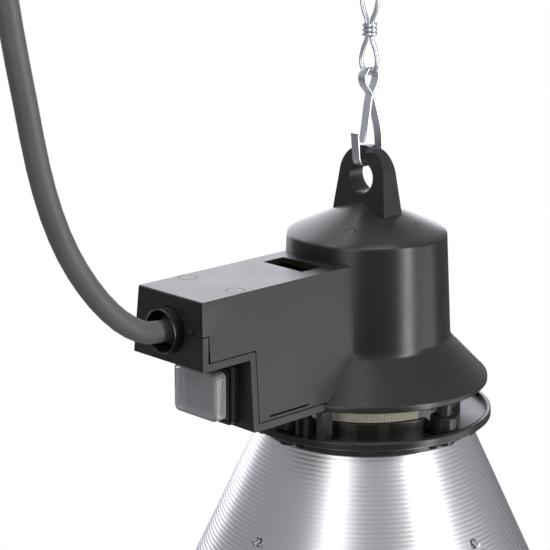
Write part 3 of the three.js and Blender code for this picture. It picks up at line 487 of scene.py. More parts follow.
def base_material(name, **sockets):
    material = bpy.data.materials.new(name)
    material.use_nodes = True
    shader = material.node_tree.nodes["Principled BSDF"]
    for key, value in sockets.items():
        shader.inputs[key.replace("_", " ")].default_value = value
    return material, material.node_tree, shader


def rgb(r, g, b):
    return (r, g, b, 1.0)


def moulded(name, colour, light, roughness, grain=900.0, depth=0.00006, wear=0.35, dust_sheen_amount=0.25, **more):
    """A moulded plastic or rubber: grain, mottling, rubbed edges, and settled dust with a painted sheen on
    upward faces.
    """
    material, tree, shader = base_material(name, **more)
    grained = placed(tree, GRAIN, Size=grain)
    worn = placed(tree, WEAR, Amount=wear)
    dust_sheen_node = placed(tree, DUST_SHEEN, Amount=dust_sheen_amount)
    body = blend_colour(tree, grained.outputs["Mottle"], rgb(*colour), rgb(*light))
    rubbed = blend_colour(tree, worn.outputs["Mask"], body, rgb(*(0.5 * c + 0.14 for c in light)))
    # Upward faces are blended towards lavender grey: partly settled dust, partly a painted sheen of the light
    # from above.
    dust_sheen_layer = blend_colour(tree, dust_sheen_node.outputs["Mask"], rubbed, rgb(0.42, 0.41, 0.44))
    link(tree, dust_sheen_layer, shader, "Base Color")
    matte = math_node(tree, "ADD", ramp(tree, grained.outputs["Mottle"], roughness - 0.05, roughness + 0.07),
                      math_node(tree, "MULTIPLY", dust_sheen_node.outputs["Mask"], 0.3))
    link(tree, matte, shader, "Roughness")
    bump = add(
        tree, "ShaderNodeBump", {"Height": grained.outputs["Height"], "Distance": depth, "Strength": 0.6}
    )
    link(tree, bump.outputs["Normal"], shader, "Normal")
    return material


def metal(name, colour, tint, roughness, spread, pitch=5200.0, depth=0.00002, wear=0.4, **more):
    """A bright metal with turning or drawing marks and a slight stain."""
    material, tree, shader = base_material(name, Metallic=1.0, **more)
    marks = placed(tree, LINES, Pitch=pitch)
    stain = placed(tree, GRAIN, Size=220.0)
    worn = placed(tree, WEAR, Amount=wear)
    body = blend_colour(tree, stain.outputs["Mottle"], rgb(*colour), rgb(*tint))
    bright = blend_colour(tree, worn.outputs["Mask"], body, rgb(0.92, 0.92, 0.93))
    link(tree, bright, shader, "Base Color")
    link(tree, ramp(tree, marks.outputs["Mask"], roughness, roughness + spread), shader, "Roughness")
    bump = add(
        tree, "ShaderNodeBump", {"Height": marks.outputs["Height"], "Distance": depth, "Strength": 0.5}
    )
    link(tree, bump.outputs["Normal"], shader, "Normal")
    return material


def see_through(name, colour, roughness, transmission=1.0, **more):
    material, tree, shader = base_material(name, Transmission_Weight=transmission, **more)
    grained = placed(tree, GRAIN, Size=300.0)
    tint = blend_colour(tree, grained.outputs["Mottle"], rgb(*colour), rgb(*(c * 0.97 for c in colour)))
    link(tree, tint, shader, "Base Color")
    link(tree, ramp(tree, grained.outputs["Mottle"], roughness, roughness + 0.05), shader, "Roughness")
    return material


HOUSING_BLACK = moulded(
    "housing_black", (0.0085, 0.0087, 0.0070), (0.0125, 0.0128, 0.0105), 0.29, wear=0.2, dust_sheen_amount=0.04
)
COVER_BLACK = moulded(
    "cover_black", (0.009, 0.009, 0.0075), (0.0125, 0.0127, 0.0108), 0.33, wear=0.25, dust_sheen_amount=0.05
)
GLOSS_BLACK = moulded(
    "gloss_black", (0.006, 0.006, 0.006), (0.010, 0.010, 0.010), 0.24, 500.0, 0.00002, 0.2, 0.06
)
CORD_RUBBER = moulded(
    "cord_rubber", (0.078, 0.078, 0.074), (0.108, 0.108, 0.103), 0.5, 700.0, 0.00008, 0.1, 0.15
)
SLEEVE_RUBBER = moulded(
    "sleeve_rubber", (0.010, 0.010, 0.010), (0.016, 0.016, 0.016), 0.5, 600.0, 0.00005, 0.15, 0.1
)
RING_FIBRE = moulded("ring_fibre", (0.42, 0.40, 0.31), (0.56, 0.54, 0.44), 0.5, 400.0, 0.00006, 0.3, 0.2)
PORCELAIN = moulded(
    "porcelain", (0.80, 0.77, 0.69), (0.86, 0.84, 0.78), 0.16, 120.0, 0.00003, 0.0, 0.15, Coat_Weight=0.5
)
ZINC = metal("bright_zinc", (0.84, 0.85, 0.88), (0.70, 0.72, 0.78), 0.26, 0.16, 2600.0, 0.000004, wear=0.1)
GUARD_ZINC = metal("guard_zinc", (0.60, 0.61, 0.62), (0.48, 0.49, 0.51), 0.24, 0.22, 2600.0)
ALUMINIUM = metal("spun_aluminium", (0.70, 0.70, 0.71), (0.63, 0.63, 0.645), 0.30, 0.12, 5200.0, 0.00002)
BRASS = metal("drawn_brass", (0.62, 0.47, 0.22), (0.45, 0.33, 0.15), 0.26, 0.2)
CLEAR_HOOD = see_through("clear_hood", (0.90, 0.91, 0.93), 0.05, 0.80, IOR=1.49)
LENS_GLASS = see_through("lens_glass", (0.94, 0.95, 0.94), 0.16, IOR=1.5)
BULB_MIRROR = metal("bulb_mirror", (0.80, 0.80, 0.80), (0.72, 0.72, 0.73), 0.12, 0.1)

# ---------------------------- the lead
LEAD_ROUTE = [
    (-124.0, 0, -24), (-136, 0, -23.2), (-146, 0, -18.6), (-157, 0, -9.8), (-168.5, 0, 3.5), (-178.4, 0, 19),
    (-186.4, 0, 37), (-192.6, 0, 58), (-198, 0, 85), (-203.4, 0.5, 115), (-206.6, 1.5, 144), (-204.4, 3, 173),
    (-194, 5, 202), (-172.6, 7.5, 227), (-143, 9.6, 244.5), (-110, 11.4, 253.6), (-76, 12.6, 255.4),
    (-52, 13, 253.6), (-26, 13, 252.3),
]
# Each shift is the turning angle where it starts, and the radius and side of the layer that it ends in.
COIL_SHIFTS = [
    (270, COIL_R_INNER, 13.0), (590, COIL_R_INNER, 23.0), (910, COIL_R_INNER, 33.0),
    (1230, COIL_R_OUTER, 33.0), (1550, COIL_R_OUTER, 23.0),
]
COIL_END, SHIFT_ARC, TURN_STEP = 1860, 40, 10
TAIL_ANGLE = math.radians(30)
TAIL_RUN = math.sqrt(75.5 ** 2 - COIL_R_OUTER ** 2)


def coil_points():
    """The wound part: each layer lies beside or over the one before, a diameter away."""
    points, layer = [], (COIL_R_OUTER, 13.0)
    shifts = list(COIL_SHIFTS)
    for turn in range(0, COIL_END + 1, TURN_STEP):
        r, y = layer
        if shifts and turn >= shifts[0][0]:
            start, next_r, next_y = shifts[0]
            t = min((turn - start) / SHIFT_ARC, 1.0)
            ease = t * t * (3 - 2 * t)
            r, y = layer[0] + (next_r - layer[0]) * ease, layer[1] + (next_y - layer[1]) * ease
            if t >= 1.0:
                layer = (next_r, next_y)
                shifts.pop(0)
        a = math.radians(90 - turn)
        points.append((r * math.cos(a), y, COIL_Z + r * math.sin(a)))
    return points


tail_start = (COIL_R_OUTER * math.cos(TAIL_ANGLE), 23.0, COIL_Z + COIL_R_OUTER * math.sin(TAIL_ANGLE))
tail_way = (math.sin(TAIL_ANGLE), 0.0, -math.cos(TAIL_ANGLE))
tail = [tuple(a + w * step for a, w in zip(tail_start, tail_way)) for step in (13.0, 26.0, TAIL_RUN + 1.0)]
lead_points = smooth(LEAD_ROUTE + coil_points() + tail, 2)
lead_path = [lead_points[0]]
for point in lead_points[1:]:
    if (point - lead_path[-1]).length > 2.5:
        lead_path.append(point)

lead = sweep(lead_path, circle(CORD_D / 2, 20))
finished(lead, "mains_lead", None, CORD_RUBBER, ("lead_span", "lead_coil"), weigh=False)


def plug_shape():
    """The plug, made about Z: its ribbed strain relief at the top, its face at the bottom."""
    relief, full, r = 26.0, 60.0, 18.6
    body = revolve([
        (0, 0), (5.2, 0), (5.9, -0.7), (6.3, -3.4), (7.6, -relief), (9.2, -relief - 2.2), (11.5, -relief - 5),
        (14.2, -relief - 9.5), (16.0, -relief - 14), (17.6, -full + 13), (18.4, -full + 8.6), (r, -full + 6),
        (r, -full + 1.2), (r - 1.0, -full), (0, -full),
    ], 64)
    rings = [
        revolve([(6.2, z - 0.9), (12, z - 0.9), (12, z + 0.9), (6.2, z + 0.9)], 48, True)
        for z in (-7, -12, -17, -22)
    ]
    notches = [block(s * r - 2.4, s * r + 2.4, -2.6, 2.6, -full - 1, -full + 17) for s in (-1, 1)]
    wells = [post(2.7, 0, s * 9.5, -full - 1, -full + 8, 24) for s in (-1, 1)]
    return cut(body, *rings, *notches, *wells)


def plug_pin(side):
    y = side * 9.5
    steps = [(0, -53), (2.4, -53), (2.4, -76.6), (2.0, -78.3), (1.0, -79.0), (0, -79.0)]
    return moved(revolve(steps, 28), y=y)


plug_turn = Matrix.Translation(
    Vector(tail_start) + Vector(tail_way) * TAIL_RUN
) @ Matrix.Rotation(-TAIL_ANGLE, 4, "Y")
for name, shape, slot, material, node in (
    ("mains_plug", plug_shape(), "gloss_black", GLOSS_BLACK, "plug_body"),
    ("plug_prong_1", plug_pin(-1), "brass", BRASS, "plug_pin_1"),
    ("plug_prong_2", plug_pin(1), "brass", BRASS, "plug_pin_2"),
):
    shape.data.transform(plug_turn)
    finished(shape, name, "chain", material, (node,))

# The tie goes over the coil's top bundle and round the knot of the last link.
TIE_R = 1.3
TIE_HIGH, TIE_LOW = LAST_LINK + CORD_D + TIE_R + 1.2, LAST_LINK - CORD_D - TIE_R - 1.2
TIE_NEAR, TIE_FAR = -6.4, COIL_Y + 15.0 + TIE_R + 1.5
TIE_MIDDLE = (TIE_NEAR + TIE_FAR) / 2
tie = wire([
    (0, TIE_NEAR - 0.6, LAST_LINK), (2.2, TIE_NEAR + 1.4, TIE_HIGH - 3), (3.6, TIE_NEAR + 5, TIE_HIGH),
    (3.6, TIE_MIDDLE, TIE_HIGH), (2.4, TIE_FAR - 3, TIE_HIGH - 0.4), (0.8, TIE_FAR, TIE_HIGH - 6),
    (-0.8, TIE_FAR, TIE_LOW + 6), (-2.4, TIE_FAR - 3, TIE_LOW + 0.4), (-3.6, TIE_MIDDLE, TIE_LOW),
    (-3.6, TIE_NEAR + 5, TIE_LOW), (-2.2, TIE_NEAR + 1.4, TIE_LOW + 3),
], TIE_R, 6, 12, closed=True)
finished(tie, "coil_binding", "chain", GLOSS_BLACK, ("coil_tie",))

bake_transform(lead)


# ---------------------------- housing
def arm_half(depth):
    return ARM_HALF + SIDE_DRAFT * (depth - ARM_TOP)


def end_face(depth):
    return -(ARM_END + END_DRAFT * (depth - ARM_TOP))


def arm_draft(inset=0.0, bottom=90.0, corner=1.1):
    """The arm's tapering cross-section, run along X."""
    top, low = ARM_TOP + inset, bottom
    outline = [
        (-(arm_half(low) - inset), -low), (arm_half(low) - inset, -low), (arm_half(top) - inset, -top),
        (-(arm_half(top) - inset), -top),
    ]
    return prism(rounded(outline, [0.0, 0.0, corner, corner]), "X", -160.0, 5.0)


def cap_outside():
    """The solid of the shallow cone, the tapered cylinder and the flared skirt."""
    peak = CAP_SLOPE * CAP_R
    points = [
        (0, peak), (8, peak - 8 * CAP_SLOPE), (20, peak - 20 * CAP_SLOPE), (CAP_R - 3.2, 3.2 * CAP_SLOPE)
    ]
    for step in range(7):
        a = math.radians(66 - 11 * step)
        points.append((CAP_R - 1.5 + 1.5 * math.cos(a) - 0.02, -1.45 + 1.5 * math.sin(a) + 0.12))
    points += [
        (CAP_FOOT_R - 0.35, -CAP_DEPTH + 2.4), (CAP_FOOT_R, -CAP_DEPTH + 0.7),
        (CAP_FOOT_R + 0.7, -CAP_DEPTH - 0.7),
    ]
    points += [
        (SKIRT_R - 1.3, -(SKIRT_DEPTH - 3.9)), (SKIRT_R - 0.5, -(SKIRT_DEPTH - 3.2)),
        (SKIRT_R - 0.1, -(SKIRT_DEPTH - 2.7)),
    ]
    points += [(SKIRT_R, -(SKIRT_DEPTH - 2.2)), (SKIRT_R, -SKIRT_DEPTH + 0.5)]
    points += [(SKIRT_R - 0.15, -SKIRT_DEPTH + 0.5), (SKIRT_R - 0.6, -SKIRT_DEPTH), (0, -SKIRT_DEPTH)]
    return revolve(points, 192)


def cap_inside():
    """The hollow of the same, a wall's thickness inside it."""
    peak, lip = CAP_SLOPE * CAP_R, SKIRT_R - WALL
    return revolve([
        (0, peak - WALL * 1.1), (CAP_R - WALL - 0.4, -WALL * 0.8),
        (CAP_FOOT_R - WALL, -CAP_DEPTH - WALL * 0.45), (lip - 0.3, -(SKIRT_DEPTH - 3.2)),
        (lip, -(SKIRT_DEPTH - 1.8)), (lip, -SKIRT_DEPTH - 5), (0, -SKIRT_DEPTH - 5),
    ], 96)


def suspension_lug():
    """The eye's lug: a round-topped plate that thins towards its top."""
    lean, arc_z = math.radians(9), EYE_Z + 0.9
    front = [(-17.3, 4.0), (17.3, 4.0)]
    for step in range(33):
        a = lean + (math.pi - 2 * lean) * step / 32
        front.append((EYE_TOP_R * math.cos(a), arc_z + EYE_TOP_R * math.sin(a)))
    side = [(-6.7, 4.0), (6.7, 4.0), (3.3, arc_z + EYE_TOP_R - 3), (1.9, arc_z + EYE_TOP_R + 1),
            (-1.9, arc_z + EYE_TOP_R + 1), (-3.3, arc_z + EYE_TOP_R - 3)]
    lug = prism(front, "X", -13, 13)
    return meet(lug, prism(side, "Y", -30, 30))


BRACKET_Y, BRACKET_BOTTOM = 25.0, 36.5
COVER_SCREWS = [(-74, -17), (-74, 17)]
CLAMP_SCREWS = [(-99, -9.6), (-99, 9.6)]


def housing():
    lower = -(ARM_DEPTH - COVER_THICK - PARTING)
    step = -(ARM_END_DEPTH - COVER_THICK - PARTING)
    inner_end = end_face(SPLIT_DEPTH) + COVER_THICK + PARTING
    inner_notch = -(NOTCH_X - COVER_THICK - PARTING)
    profile = [
        (end_face(ARM_TOP), -ARM_TOP), (-CAP_R * 0.6, -ARM_TOP), (-CAP_R * 0.6, lower), (inner_notch, lower),
        (inner_notch, step), (inner_end, step), (inner_end, -SPLIT_DEPTH),
        (end_face(SPLIT_DEPTH), -SPLIT_DEPTH),
    ]
    arm = prism(rounded(profile, [1.0, 0, 0, 0.4, 0.8, 0.4, 0, 0.3]), "Y", -40, 40)
    eased(meet(arm, arm_draft(corner=0.0)), 0.7)
    cavity = [
        (end_face(ARM_TOP) + WALL, -ARM_TOP - WALL), (-CAP_R * 0.5, -ARM_TOP - WALL),
        (-CAP_R * 0.5, -SKIRT_DEPTH + 14), (-(SKIRT_R + 1.2), -SKIRT_DEPTH + 5),
        (-(SKIRT_R + 1.2), -SKIRT_DEPTH - 12), (end_face(ARM_TOP) + WALL, -SKIRT_DEPTH - 12),
    ]
    arm_inside = meet(prism(cavity, "Y", -40, 40), arm_draft(WALL, SKIRT_DEPTH + 12, 0.5))
    nub = block(end_face(22) - 1.2, end_face(22) + 0.8, -16.2, -13.6, -22.8, -21)
    shell = union(cap_outside(), arm, suspension_lug(), nub)
    cut(shell, cap_inside(), arm_inside)

    bracket_top = CAP_SLOPE * (CAP_R - BRACKET_Y - 4.2) - 0.3
    posts = [post(4.2, 0, s * BRACKET_Y, -BRACKET_BOTTOM, bracket_top) for s in (-1, 1)]
    posts += [post(3.4, x, y, lower, -ARM_TOP - 1) for x, y in COVER_SCREWS]
    posts += [
        post(3.65, x, y, -BOSS_TOP + 0.3, -(SKIRT_DEPTH - 4.5), 40)
        for x, y, _ in around(BOSSES, BOSS_PITCH_R)
    ]
    union(shell, *posts)

    cuts = [prism(circle(EYE_R, 64, (0, EYE_Z)), "X", -20, 20)]
    cuts.append(prism(rectangle(6.5, 12.8, 0.5, centre=(-49.2, 0)), "Z", -20, 5))
    cuts.append(prism(circle(GLAND_R + 0.3, 64, (0, -GLAND_DEPTH)), "X", -140, -110))
    for s in (-1, 1):
        y = s * arm_half(66.4)
        cuts.append(block(-87.3, -63.3, y - 5.6, y + 5.6, -66.85, -65.95))
    cuts += [post(PILOT_R, 0, s * BRACKET_Y, -BRACKET_BOTTOM - 1, -22, 20) for s in (-1, 1)]
    cuts += [post(PILOT_R, x, y, lower - 1, lower + 8, 20) for x, y in COVER_SCREWS]
    cuts += [
        post(PILOT_R, x, y, -90, -(SKIRT_DEPTH - 4.5) - 2.8, 20) for x, y, _ in around(BOSSES, BOSS_PITCH_R)
    ]
    # Witness rings of the ejector pins and a gate mark.
    for x, y in ((-99.3, -15.7), (-99.3, 15.7)):
        ring = revolve([(4.05, -ARM_TOP - 0.18), (4.4, -ARM_TOP - 0.18), (4.4, 1), (4.05, 1)], 48, True)
        cuts.append(moved(ring, x, y))
    for x, y in ((9.6, -25.2), (-24.0, -12.0)):
        pad = revolve([(2.4, -4), (2.75, -4), (2.75, 12), (2.4, 12)], 32, True)
        cuts.append(moved(pad, x, y, CAP_SLOPE * (CAP_R - math.hypot(x, y)) + 3.82 - 0.12))
    return cut(shell, *cuts)


finished(housing(), "moulded_housing", "lamp", HOUSING_BLACK, ("housing",), 28)


def stepped_cover():
    t = COVER_THICK
    profile = [
        (end_face(SPLIT_DEPTH), -SPLIT_DEPTH - PARTING), (end_face(ARM_END_DEPTH), -ARM_END_DEPTH),
        (-NOTCH_X, -ARM_END_DEPTH), (-NOTCH_X, -ARM_DEPTH), (-CAP_FOOT_R, -ARM_DEPTH),
        (-CAP_FOOT_R, -ARM_DEPTH + t), (-NOTCH_X + t, -ARM_DEPTH + t), (-NOTCH_X + t, -ARM_END_DEPTH + t),
        (end_face(ARM_END_DEPTH) + t, -ARM_END_DEPTH + t),
        (end_face(SPLIT_DEPTH) + t, -SPLIT_DEPTH - PARTING),
    ]
    radii = [0.3, 0.9, 0.4, 0.9, 0, 0, 0.5, 1.2, 0.5, 0.3]
    plate = eased(meet(prism(rounded(profile, radii), "Y", -40, 40), arm_draft(corner=0.0)), 0.45)
    floor = -ARM_DEPTH
    cuts = [
        prism(rectangle(13.0, 10.0, 0.8, centre=(0, -SWITCH_DEPTH)), "X", -NOTCH_X - 5, -NOTCH_X + 8),
        post(SKIRT_R + 0.3, 0, 0, floor - 5, -40, 128),
        prism(circle(GLAND_R + 0.3, 64, (0, -GLAND_DEPTH)), "X", -140, -110),
    ]
    cut(plate, *cuts)
    union(plate, *[post(3.2, x, y, -ARM_END_DEPTH + 0.5, -GLAND_DEPTH + 1.7) for x, y in CLAMP_SCREWS])
    holes = [post(SCREW_HOLE_R, x, y, floor - 1, floor + t + 1, 20) for x, y in COVER_SCREWS]
    holes += [post(PILOT_R, x, y, -ARM_END_DEPTH + t, -GLAND_DEPTH + 2, 20) for x, y in CLAMP_SCREWS]
    return cut(plate, *holes)


finished(stepped_cover(), "lower_cover", "lamp", COVER_BLACK, ("arm_cover",), 28)


# ---------------------------- cable entry
def along_minus_x(obj, face_x, depth):
    """Turns a piece made about Z so that its +Z points to -X, and sets it at the entry."""
    obj.data.transform(Matrix.Rotation(-math.pi / 2, 4, "Y"))
    return moved(obj, face_x, 0, -depth)


def entry_ring():
    length = -110.5 - (end_face(GLAND_DEPTH) - 5.2)
    profile = [
        (GLAND_BORE, 0), (GLAND_BORE, length - 0.8), (GLAND_BORE + 0.35, length - 0.2),
        (GLAND_BORE + 0.7, length), (GLAND_R - 0.5, length), (GLAND_R - 0.1, length - 0.25),
        (GLAND_R, length - 0.7), (GLAND_R, 0),
    ]
    return along_minus_x(revolve(profile, 72, True), -110.5, GLAND_DEPTH)


finished(entry_ring(), "entry_ring", "lamp", GLOSS_BLACK, ("gland_ring",))


def entry_sleeve():
    """The sealing sleeve: a ribbed rubber cone that thins towards its mouth."""
    bore = CORD_D / 2 + 0.15
    profile = [
        (bore, -17), (bore, 0.0), (bore + 0.5, 0.15), (bore + 1.3, 0.0), (7.4, -0.8), (7.6, -2.4),
        (8.75, -2.7), (8.75, -8), (bore + 1.6, -17),
    ]
    return along_minus_x(revolve(profile, 64, True), end_face(GLAND_DEPTH) + 0.6, GLAND_DEPTH)


finished(entry_sleeve(), "entry_sleeve", "lamp", SLEEVE_RUBBER, ("cord_grommet",))

# ---------------------------- switch
BEZEL_BACK = -NOTCH_X - 0.3
BEZEL_FRONT = BEZEL_BACK - 5.8


def switch_frame():
    def layer(inset, x0, x1):
        return prism(
            rectangle(16.2 - inset, 13.9 - inset, 2.5 - inset / 2, centre=(0, -SWITCH_DEPTH)), "X", x0, x1
        )

    body = union(
        layer(0, BEZEL_BACK - 1.7, BEZEL_BACK), layer(0.9, BEZEL_BACK - 2.2, BEZEL_BACK - 1.6),
        layer(0.3, BEZEL_BACK - 4.4, BEZEL_BACK - 2.1), layer(1.5, BEZEL_FRONT, BEZEL_BACK - 4.3),
    )
    return cut(
        body,
        prism(rectangle(10.6, 8.0, 1.0, centre=(0, -SWITCH_DEPTH)), "X", BEZEL_FRONT - 1, BEZEL_BACK + 1),
    )


finished(switch_frame(), "switch_frame", "lamp", GLOSS_BLACK, ("switch_bezel",))


def switch_window():
    """The clear hood: a thin box open at the back, with a raised rim round its window."""
    back, deep, thin = BEZEL_FRONT - 0.3, 6.2, 1.1
    front = back - deep
    centre = (0, -SWITCH_DEPTH)
    outer = prism(rectangle(14.0, 11.0, 3.0, 6, centre), "X", front + 0.8, back)
    rim = prism(rectangle(13.1, 10.1, 2.4, 6, centre), "X", front, front + 1.2)
    union(outer, rim)
    return cut(outer, prism(rectangle(14.0 - thin, 11.0 - thin, 2.2, 6, centre), "X", front + thin, back + 1))


finished(switch_window(), "switch_window", "lamp", CLEAR_HOOD, ("switch_hood",))


def rocker_key():
    outline = [(3.4, -5.5), (-3.2, -10.0)]
    outline += [(-3.2 - 1.15 * math.sin(math.pi * k / 12), -10.0 + 20.0 * k / 12) for k in range(1, 12)]
    outline += [(-3.2, 10.0), (3.4, 5.5)]
    body = prism(outline, "Z", -7.4, 7.4)
    grips = [block(-6, -4.0, 6.2 + y - 0.4, 6.2 + y + 0.4, -5, 5) for y in (-2, 0, 2)]
    cut(body, *grips)
    body.data.transform(Matrix.Rotation(math.radians(7), 4, "Z"))
    return moved(body, BEZEL_BACK + 1, 0, -SWITCH_DEPTH)


finished(rocker_key(), "rocker_key", "rocker", GLOSS_BLACK, ("switch_rocker",), 20)


# ---------------------------- flange and ribbed ring
def wedge(centre, half, z0, z1):
    """A sector of a disc that reaches past the lamp, from its axis outwards."""
    reach = 140.0
    turns = [math.radians(centre + half * k) for k in (-1, 0, 1)]
    outline = [(0, 0)] + [
        (reach * s * math.cos(a), reach * s * math.sin(a)) for a, s in zip(turns, (1, 1.3, 1))
    ]
    return prism(outline, "Z", z0, z1)


def band(r0, r1, z0, z1, half, middle):
    """A piece of a ring wall with eased edges."""
    soft = 0.25
    profile = rounded([(r0, z0), (r1, z0), (r1, z1), (r0, z1)], [0, 0, soft, soft], 2)
    return meet(revolve(profile, 192, True), wedge(middle, half, z0 - 5, z1 + 5))


def flange():
    """The plate under the air gap: raised edge, inner upstands, gussets, bosses and step ring."""
    outer = [
        (38, -FLANGE_TOP), (FLANGE_R - 2.6, -FLANGE_TOP), (FLANGE_R - 2.1, -FLANGE_EDGE_TOP + 0.2),
        (FLANGE_R - 1.8, -FLANGE_EDGE_TOP), (FLANGE_R - 0.5, -FLANGE_EDGE_TOP),
        (FLANGE_R - 0.1, -FLANGE_EDGE_TOP - 0.25), (FLANGE_R, -FLANGE_EDGE_TOP - 0.7),
        (FLANGE_R, -FLANGE_TOP - 0.8), (FLANGE_R - 0.5, -FLANGE_TOP - 1.3), (56.4, -FLANGE_BOTTOM),
        (38, -FLANGE_BOTTOM),
    ]
    plate = revolve(outer, 192, True)
    parts = []
    for middle in SECTORS:
        parts.append(band(43.2, 46.0, -FLANGE_TOP - 0.5, -81.4, 38, middle))
        parts.append(band(54.4, 57.0, -FLANGE_BOTTOM - 1.8, -FLANGE_BOTTOM + 0.7, 30, middle))
    # Two pairs of gussets carry the arm where it overhangs the flange.
    for y, thick, x1 in ((-24, 2.4, -48.0), (24, 2.4, -48.0), (-17.4, 2.0, -54.2), (17.4, 2.0, -54.2)):
        shape = [
            (-62.4, -FLANGE_TOP - 0.2), (x1 - 3, -FLANGE_TOP - 0.2), (x1, -FLANGE_TOP + 4),
            (x1, -SKIRT_DEPTH - 0.3), (-62.4, -SKIRT_DEPTH - 0.3),
        ]
        parts.append(
            meet(prism(shape, "Y", y - thick / 2, y + thick / 2), post(FLANGE_R - 0.3, 0, 0, -100, -60, 128))
        )
    upper_boss = [
        (0, -FLANGE_TOP - 0.5), (6.65, -FLANGE_TOP - 0.5), (6.65, -BOSS_TOP - 0.4), (6.25, -BOSS_TOP),
        (0, -BOSS_TOP),
    ]
    lower_boss = [
        (0, -FLANGE_BOTTOM + 0.5), (4.8, -FLANGE_BOTTOM + 0.5), (4.8, 0.3 - BOSS_BOTTOM), (4.5, -BOSS_BOTTOM),
        (0, -BOSS_BOTTOM),
    ]
    for x, y, _ in around(BOSSES, BOSS_PITCH_R):
        parts.append(moved(revolve(upper_boss, 48), x, y))
        parts.append(moved(revolve(lower_boss, 40), x, y))
    for x, y, _ in around(BOSSES, CLAMP_PITCH_R, CLAMP_TURN):
        parts.append(post(3.4, x, y, -BOSS_BOTTOM, -FLANGE_BOTTOM + 0.5, 28))
    union(plate, *parts)
    holes = [post(SCREW_HOLE_R, x, y, -100, -70, 20) for x, y, _ in around(BOSSES, BOSS_PITCH_R)]
    holes += [post(3.5, x, y, -100, 2.8 - BOSS_BOTTOM, 28) for x, y, _ in around(BOSSES, BOSS_PITCH_R)]
    holes += [
        post(SCREW_HOLE_R, x, y, -100, -FLANGE_BOTTOM + 1.4, 20)
        for x, y, _ in around(BOSSES, CLAMP_PITCH_R, CLAMP_TURN)
    ]
    return cut(plate, *holes)


finished(flange(), "carrier_flange", "lamp", HOUSING_BLACK, ("mounting_flange",), 30)


def ribbed_band(middle):
    """One sector of the ring that stands in the air gap, with upright ribs on its outer face."""
    ribs, half, inner, outer, deep = 46, 33.0, RIBBED_INNER_R, 44.4, 0.42
    outline = []
    for i in range(ribs):
        for k in range(6):
            t = k / 6
            a = math.radians(middle - half + 2 * half * (i + t) / ribs)
            r = outer - deep * (0.5 + 0.5 * math.cos(2 * math.pi * t)) ** 1.5
            outline.append((r * math.cos(a), r * math.sin(a)))
    for i in range(24, -1, -1):
        a = math.radians(middle - half + 2 * half * i / 24)
        outline.append((inner * math.cos(a), inner * math.sin(a)))
    return prism(outline, "Z", -81.1, -75.4)


def ribbed_ring():
    foot = [(RIBBED_INNER_R, -87.9), (42.9, -87.9), (42.9, -84.9), (RIBBED_INNER_R, -84.9)]
    parts = [revolve(foot, 128, True)]
    for middle in SECTORS:
        root = block(40.6, 41.9, -8, 8, -86.9, -80.4)
        parts.append(turned(root, math.radians(middle)))
        parts.append(ribbed_band(middle))
    return union(*parts)


finished(ribbed_ring(), "ribbed_ring", "lamp", RING_FIBRE, ("air_ring",), 50)


# ---------------------------- reflector, guard and bulb
def cone_r(depth):
    return NECK_R + CONE_SLOPE * (depth - NECK_DEPTH)


REFLECTOR_TOP = -(BOSS_BOTTOM + 0.3)
MOUTH_Z = -(NECK_DEPTH + (MOUTH_R - NECK_R) / CONE_SLOPE)
RIDGE_PITCH, RIDGE_DEPTH = 1.95, 0.10


def reflector():
    """A spun shell: ridged on its outside, with a rolled bead at the mouth."""
    slant = 1.2 * math.sqrt(1 + CONE_SLOPE ** 2)
    out = [
        (39.6, REFLECTOR_TOP), (NECK_R - 1.8, REFLECTOR_TOP), (NECK_R - 0.8, REFLECTOR_TOP - 0.4),
        (NECK_R - 0.2, -NECK_DEPTH + 0.4),
    ]
    run = -MOUTH_Z - NECK_DEPTH
    count = int(run / RIDGE_PITCH * 6)
    for i in range(count + 1):
        depth = NECK_DEPTH + run * i / count
        phase = 2 * math.pi * (depth - NECK_DEPTH) / RIDGE_PITCH
        fade = min(1.0, (-MOUTH_Z - depth) / 8.0)
        out.append((cone_r(depth) - RIDGE_DEPTH * fade * (0.5 - 0.5 * math.cos(phase)), -depth))
    bead = [
        (1.9, -0.6), (2.5, -1.4), (2.6, -2.3), (2.2, -3.2), (1.3, -3.7), (0.3, -3.7), (-0.4, -3.2),
        (-0.7, -2.4), (-slant, -1.2),
    ]
    out += [(MOUTH_R + r, MOUTH_Z + z) for r, z in bead]
    steps = 30
    for i in range(1, steps):
        depth = -MOUTH_Z + 1.2 - (-MOUTH_Z - NECK_DEPTH + 0.6) * i / steps
        out.append((cone_r(depth) - slant, -depth))
    out += [
        (NECK_R - slant - 0.6, REFLECTOR_TOP - 1.8), (NECK_R - 2.6, REFLECTOR_TOP - 1.2),
        (39.6, REFLECTOR_TOP - 1.2),
    ]
    shell = revolve(out, 168, True)
    holes = []
    for _, _, a in around(GUARD_HOOKS, 1.0):
        r = cone_r(GUARD_HOOK_DEPTH)
        hole = prism(circle(GUARD_WIRE * 0.9, 24, (0, -GUARD_HOOK_DEPTH)), "X", r - 12, r + 12)
        holes.append(turned(hole, a))
    holes += [
        post(SCREW_HOLE_R, x, y, -100, -70, 20) for x, y, _ in around(BOSSES, CLAMP_PITCH_R, CLAMP_TURN)
    ]
    return cut(shell, *holes)


finished(reflector(), "spun_reflector", "lamp", ALUMINIUM, ("reflector",), 40)


